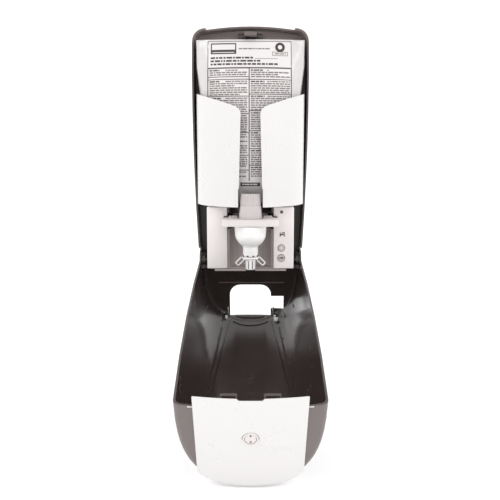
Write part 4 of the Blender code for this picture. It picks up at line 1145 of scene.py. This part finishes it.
    def yoke(self) -> None:
        """Make the lift yoke, the grip ribs on its shoulders and the dark pads at its ends."""
        refined("lift_yoke", "yoke", LIGHT_GREY, 0.8 * MM)
        ribs, pads = bmesh.new(), bmesh.new()
        top = self.body.base + self.grip_top
        for side in SIDES:
            for number in range(self.grip_count):
                x = side * (self.grip_start + self.grip_step * number)
                block(ribs, (x - self.grip_half, -79 * MM, top),
                      (x + self.grip_half, -70 * MM, top + 2.4 * MM), 0.2 * MM)
        finished("yoke_grips", ribs, "yoke", LIGHT_GREY)
        for low, high in spans(self.pad_start, self.pad_end):
            block(pads, (low, -73 * MM, top), (high, -68 * MM, top + 1.4 * MM), 0.3 * MM)
        finished("yoke_pads", pads, "yoke", MARK)

    def build(self) -> None:
        """Make the cradle, the pouch and the pump."""
        refined("refill_cradle", "housing", WHITE, 0.4 * MM)
        Pouch(self.body).build()
        self.neck()
        self.head()
        self.outlet()
        self.yoke()


class Wall(Enum):
    """Walls of the cover, by the way into them with the cover shut."""

    FRONT = (0, -1, 0)
    BASE = (0, 0, -1)
    TOP = (0, 0, 1)


@dataclass
class Cover:
    """Swing-down cover with its white panel and lock.

    Places on its walls are in millimetres: X, the distance in front of the rim plane, the level.
    """

    body: Body
    tree: BVHTree | None = None
    tab_middle: float = 18
    tab_hollow: tuple[float, float] = (12.3 * MM, 23.7 * MM)
    hook_middle: float = 50.4
    hook: tuple[float, float] = (47.6 * MM, 52.4 * MM)
    top_level: float = 240
    middle: float = 30
    ring_level: float = 118
    ring_radius: float = 4.2
    ring_steps: int = 32
    pips: Profile = ((-41, 150), (41, 150), (41, 110), (39.5, 92), (44, 104), (-37, 62),
                     (37.5, 62))
    # White knobs and blocks on the clips, (x, level, size) in millimetres: painted highlights.
    clip_highlight_spots: tuple[tuple[float, float, float], ...] = (
        (-29.5, 14.5, 1.6), (29.5, 14, 1.4), (31, 21, 2.6))

    def touch(self, x: float, forward: float, level: float, wall: Wall) -> Vector:
        """Return where the inside of a wall lies, seen from a point inside the shut cover.

        Args:
            x: X of the point.
            forward: Its distance in front of the rim plane.
            level: Its level.
            wall: The wall.

        Returns:
            The place on the wall.
        """
        start = self.body.point(x * MM, forward * MM, level * MM)
        found = self.tree.ray_cast(start, Vector(wall.value))[0]
        return found if found is not None else start

    def shell(self) -> None:
        """Make the cover shell, its outside more matt than its inside and paler, a painted light
        on the faces that look out.
        """
        obj = refined("cover_shell", "cover", BLACK_GLOSS, 0.4 * MM)
        obj.data.materials.append(BLACK_SATIN_LIT.material())
        shape = bmesh.new()
        shape.from_mesh(obj.data)
        bmesh.ops.transform(shape, matrix=self.body.opened().inverted(), verts=shape.verts)
        shape.normal_update()
        self.tree = BVHTree.FromBMesh(shape)
        # Faces that look out from the cover's middle get the paler satin finish, a painted light;
        # the rest keep the gloss.
        heart = self.body.point(0, 20 * MM, 140 * MM)
        for face, kept in zip(shape.faces, obj.data.polygons):
            away = face.calc_center_median() - heart
            away.z *= 0.35
            kept.material_index = int(face.normal.dot(away) > 0 and face.normal.y < 0.7)
        shape.free()

    def ridge(self, shape: BMesh, ends: Profile, wall: Wall, height: float,
              half: float, steps: int = 24) -> None:
        """Add a ridge on the inside of a wall along a line through points.

        Args:
            shape: The bmesh, shaped with the cover shut.
            ends: (x, level) points on the front wall, or (x, forward) on the base wall.
            wall: The wall.
            height: Its height.
            half: Half its width.
            steps: Pieces that it is bent into.
        """
        path = []
        for step in range(steps + 1):
            share = step / steps * (len(ends) - 1)
            index = min(int(share), len(ends) - 2)
            x, other = Vector(ends[index]).lerp(Vector(ends[index + 1]), share - index)
            if wall is Wall.FRONT:
                path.append(self.touch(x, self.middle, other, wall))
            else:
                path.append(self.touch(x, other, self.middle, wall))
        bead(shape, path, Vector(wall.value), height * MM, half * MM)

    def moulding(self) -> None:
        """Make the ridges and pips moulded on the inside of the cover."""
        shape, lip = bmesh.new(), bmesh.new()
        # The base wall's ridge and arcs take the paler satin finish: painted highlights along real
        # ridges.
        self.ridge(lip, ((-39, 35), (40, 35)), Wall.BASE, 1.2, 0.8)
        for side in SIDES:
            turns = [math.radians(9 * step) for step in range(9)]
            arc = [(side * (27 + 26 * math.sin(turn)), 78 - 36 * (1 - math.cos(turn)))
                   for turn in turns]
            self.ridge(lip, arc, Wall.BASE, 1.2, 0.8)
            self.ridge(shape, ((side * 25, 19), (side * 32, 75), (side * 40, 152)), Wall.FRONT,
                       1.2, 0.8)
            self.ridge(shape, ((side * 34, 38), (side * 39, 95), (side * 44.5, 152)), Wall.FRONT,
                       1.0, 1.0)
        self.ridge(shape, [(x, 25 - 6 * (x / 21) ** 2) for x in range(-21, 22, 3)], Wall.FRONT,
                   1.3, 1.0)
        for x, level in self.pips:
            place = Matrix.Translation(self.touch(x, self.middle, level, Wall.FRONT))
            bmesh.ops.create_icosphere(shape, subdivisions=2, radius=1.0 * MM, matrix=place)
        ring = []
        for step in range(self.ring_steps + 1):
            turn = step * math.tau / self.ring_steps
            ring.append(self.touch(self.ring_radius * math.sin(turn), self.middle,
                                   self.ring_level + self.ring_radius * math.cos(turn),
                                   Wall.FRONT))
        bead(shape, ring, Vector(Wall.FRONT.value), 0.5 * MM, 0.5 * MM)
        for across, level in ((6, 127), (4, 130), (8, 146), (5, 149)):
            self.ridge(shape, ((-across / 2, level), (across / 2, level)), Wall.FRONT, 0.5, 0.5, 4)
        finished("cover_moulding", shape, "cover", BLACK_GLOSS, turn=self.body.opened())
        # The chin's lip is real, and its paler finish is a painted reflection of the sky.
        self.ridge(lip, [(x, 15 - 5 * (x / 22) ** 2) for x in range(-22, 23, 2)], Wall.FRONT,
                   1.8, 2.4)
        finished("chin_lip_painted_highlight", lip, "cover", BLACK_SATIN_LIT, turn=self.body.opened())

    def fittings(self) -> None:
        """Make the panel's side hooks, the catch tabs' hollows and white blocks that paint
        highlights on the clips.
        """
        hooks, hollows, bright = bmesh.new(), bmesh.new(), bmesh.new()
        for side, (low, high) in zip(SIDES, spans(*self.hook)):
            place = self.touch(side * self.hook_middle, 2, self.top_level, Wall.TOP)
            block(hooks, (low, place.y + 0.7 * MM, place.z + 0.6 * MM),
                  (high, place.y + 1.8 * MM, place.z + 2.7 * MM), 0.4 * MM)
        finished("panel_hooks", hooks, "cover", WHITE, turn=self.body.opened())
        for side, (low, high) in zip(SIDES, spans(*self.tab_hollow)):
            place = self.touch(side * self.tab_middle, -8, self.top_level, Wall.TOP)
            block(hollows, (low, place.y - 6 * MM, place.z + 1.4 * MM),
                  (high, place.y + 3.9 * MM, place.z + 1.75 * MM))
        finished("tab_hollows", hollows, "cover", BLACK_GLOSS, turn=self.body.opened())
        # Each clip gets a white knob and block: painted highlights on the steel clips.
        for x, level, size in self.clip_highlight_spots:
            place = self.touch(x, self.middle, level, Wall.FRONT)
            half = size * MM
            knob = Matrix.Translation(place + Vector((0, half, 4 * MM)))
            bmesh.ops.create_uvsphere(bright, u_segments=16, v_segments=10, radius=0.9 * half,
                                      matrix=knob)
            block(bright, (place.x - half, place.y - 0.5 * MM, place.z - half),
                  (place.x + half, place.y + 2.6 * MM, place.z + half), 0.4 * MM)
        finished("clip_painted_highlights", bright, "cover", PUMP_WHITE_LIT, turn=self.body.opened())

    def build(self) -> None:
        """Make the cover and what it carries."""
        self.shell()
        self.moulding()
        self.fittings()
        refined("front_panel", "cover", WHITE, 0.4 * MM)
        refined("lock_ring", "cover", LIGHT_GREY)
        refined("lock_barrel", "lock", LIGHT_GREY)
        refined("lock_cam", "lock", STEEL)
        for side in ("left", "right"):
            refined(f"chin_clip_{side}", "cover", STEEL, 0)


# ------------------------------------------------------------------ studio


@dataclass
class Studio:
    """Pale floor, soft lights and the camera."""

    floor_gap: float = 1.0 * MM
    floor_half: float = 6
    floor_glow: float = 0.12
    sky_strength: float = 1.18
    light_size: float = 0.7
    aim: tuple[float, float, float] = (0, -0.1, -0.05)
    camera_place: tuple[float, float, float] = (-0.0005, -0.796, 0.013)
    camera_pitch: float = 80.5
    lens: float = 47.66

    def floor(self) -> None:
        """Make the plain pale floor that the cover nearly touches."""
        shape = bmesh.new()
        bmesh.ops.create_grid(shape, x_segments=2, y_segments=2, size=self.floor_half)
        low = CAD_BOUNDS[0][2] - self.floor_gap
        bmesh.ops.translate(shape, vec=(0, 0, low), verts=shape.verts)
        mesh = bpy.data.meshes.new("floor")
        shape.to_mesh(mesh)
        shape.free()
        floor = bpy.data.objects.new("floor", mesh)
        bpy.context.scene.collection.objects.link(floor)
        made = bpy.data.materials.new("pale_floor")
        made.use_nodes = True
        shader = made.node_tree.nodes["Principled BSDF"]
        shader.inputs["Base Color"].default_value = (0.97, 0.97, 0.975, 1)
        shader.inputs["Roughness"].default_value = 1.0
        shader.inputs["Specular IOR Level"].default_value = 0.0
        shader.inputs["Emission Color"].default_value = (1, 1, 1, 1)
        shader.inputs["Emission Strength"].default_value = self.floor_glow
        floor.data.materials.append(made)

    def light(self, name: str, place: Sequence[float], power: float) -> None:
        """Add a soft square light that points at the object.

        Args:
            name: The light's name.
            place: Where it stands.
            power: Its power in watts.
        """
        data = bpy.data.lights.new(name, "AREA")
        data.size = self.light_size
        data.energy = power
        lamp = bpy.data.objects.new(name, data)
        lamp.location = place
        aim = Vector(self.aim) - Vector(place)
        lamp.rotation_euler = aim.to_track_quat("-Z", "Y").to_euler()
        bpy.context.scene.collection.objects.link(lamp)

    def build(self) -> None:
        """Make the floor, the sky, the lights and the camera."""
        self.floor()
        world = bpy.data.worlds.new("studio")
        world.use_nodes = True
        sky = world.node_tree.nodes["Background"]
        sky.inputs["Color"].default_value = (1, 1, 1, 1)
        sky.inputs["Strength"].default_value = self.sky_strength
        bpy.context.scene.world = world
        bpy.context.scene.view_settings.view_transform = "Standard"
        self.light("key", (-0.9, -1.0, 0.9), 3.5)
        self.light("fill", (1.1, -0.8, 0.6), 2.5)
        camera = bpy.data.objects.new("camera", bpy.data.cameras.new("camera"))
        camera.data.lens = self.lens
        camera.data.sensor_width = 36
        camera.location = self.camera_place
        camera.rotation_euler = (math.radians(self.camera_pitch), 0, 0)
        bpy.context.scene.collection.objects.link(camera)
        bpy.context.scene.camera = camera


def main() -> None:
    """Build every sub-assembly, then the studio."""
    logging.basicConfig(level=logging.INFO, format="%(name)s: %(message)s")
    body = Body()
    Studio().build()
    for part in (Housing(body), DriveModule(body), Refill(body), Cover(body)):
        part.build()
        LOG.info("built the %s", type(part).__name__)
    bpy.context.view_layer.update()


if __name__ == "__main__":
    main()
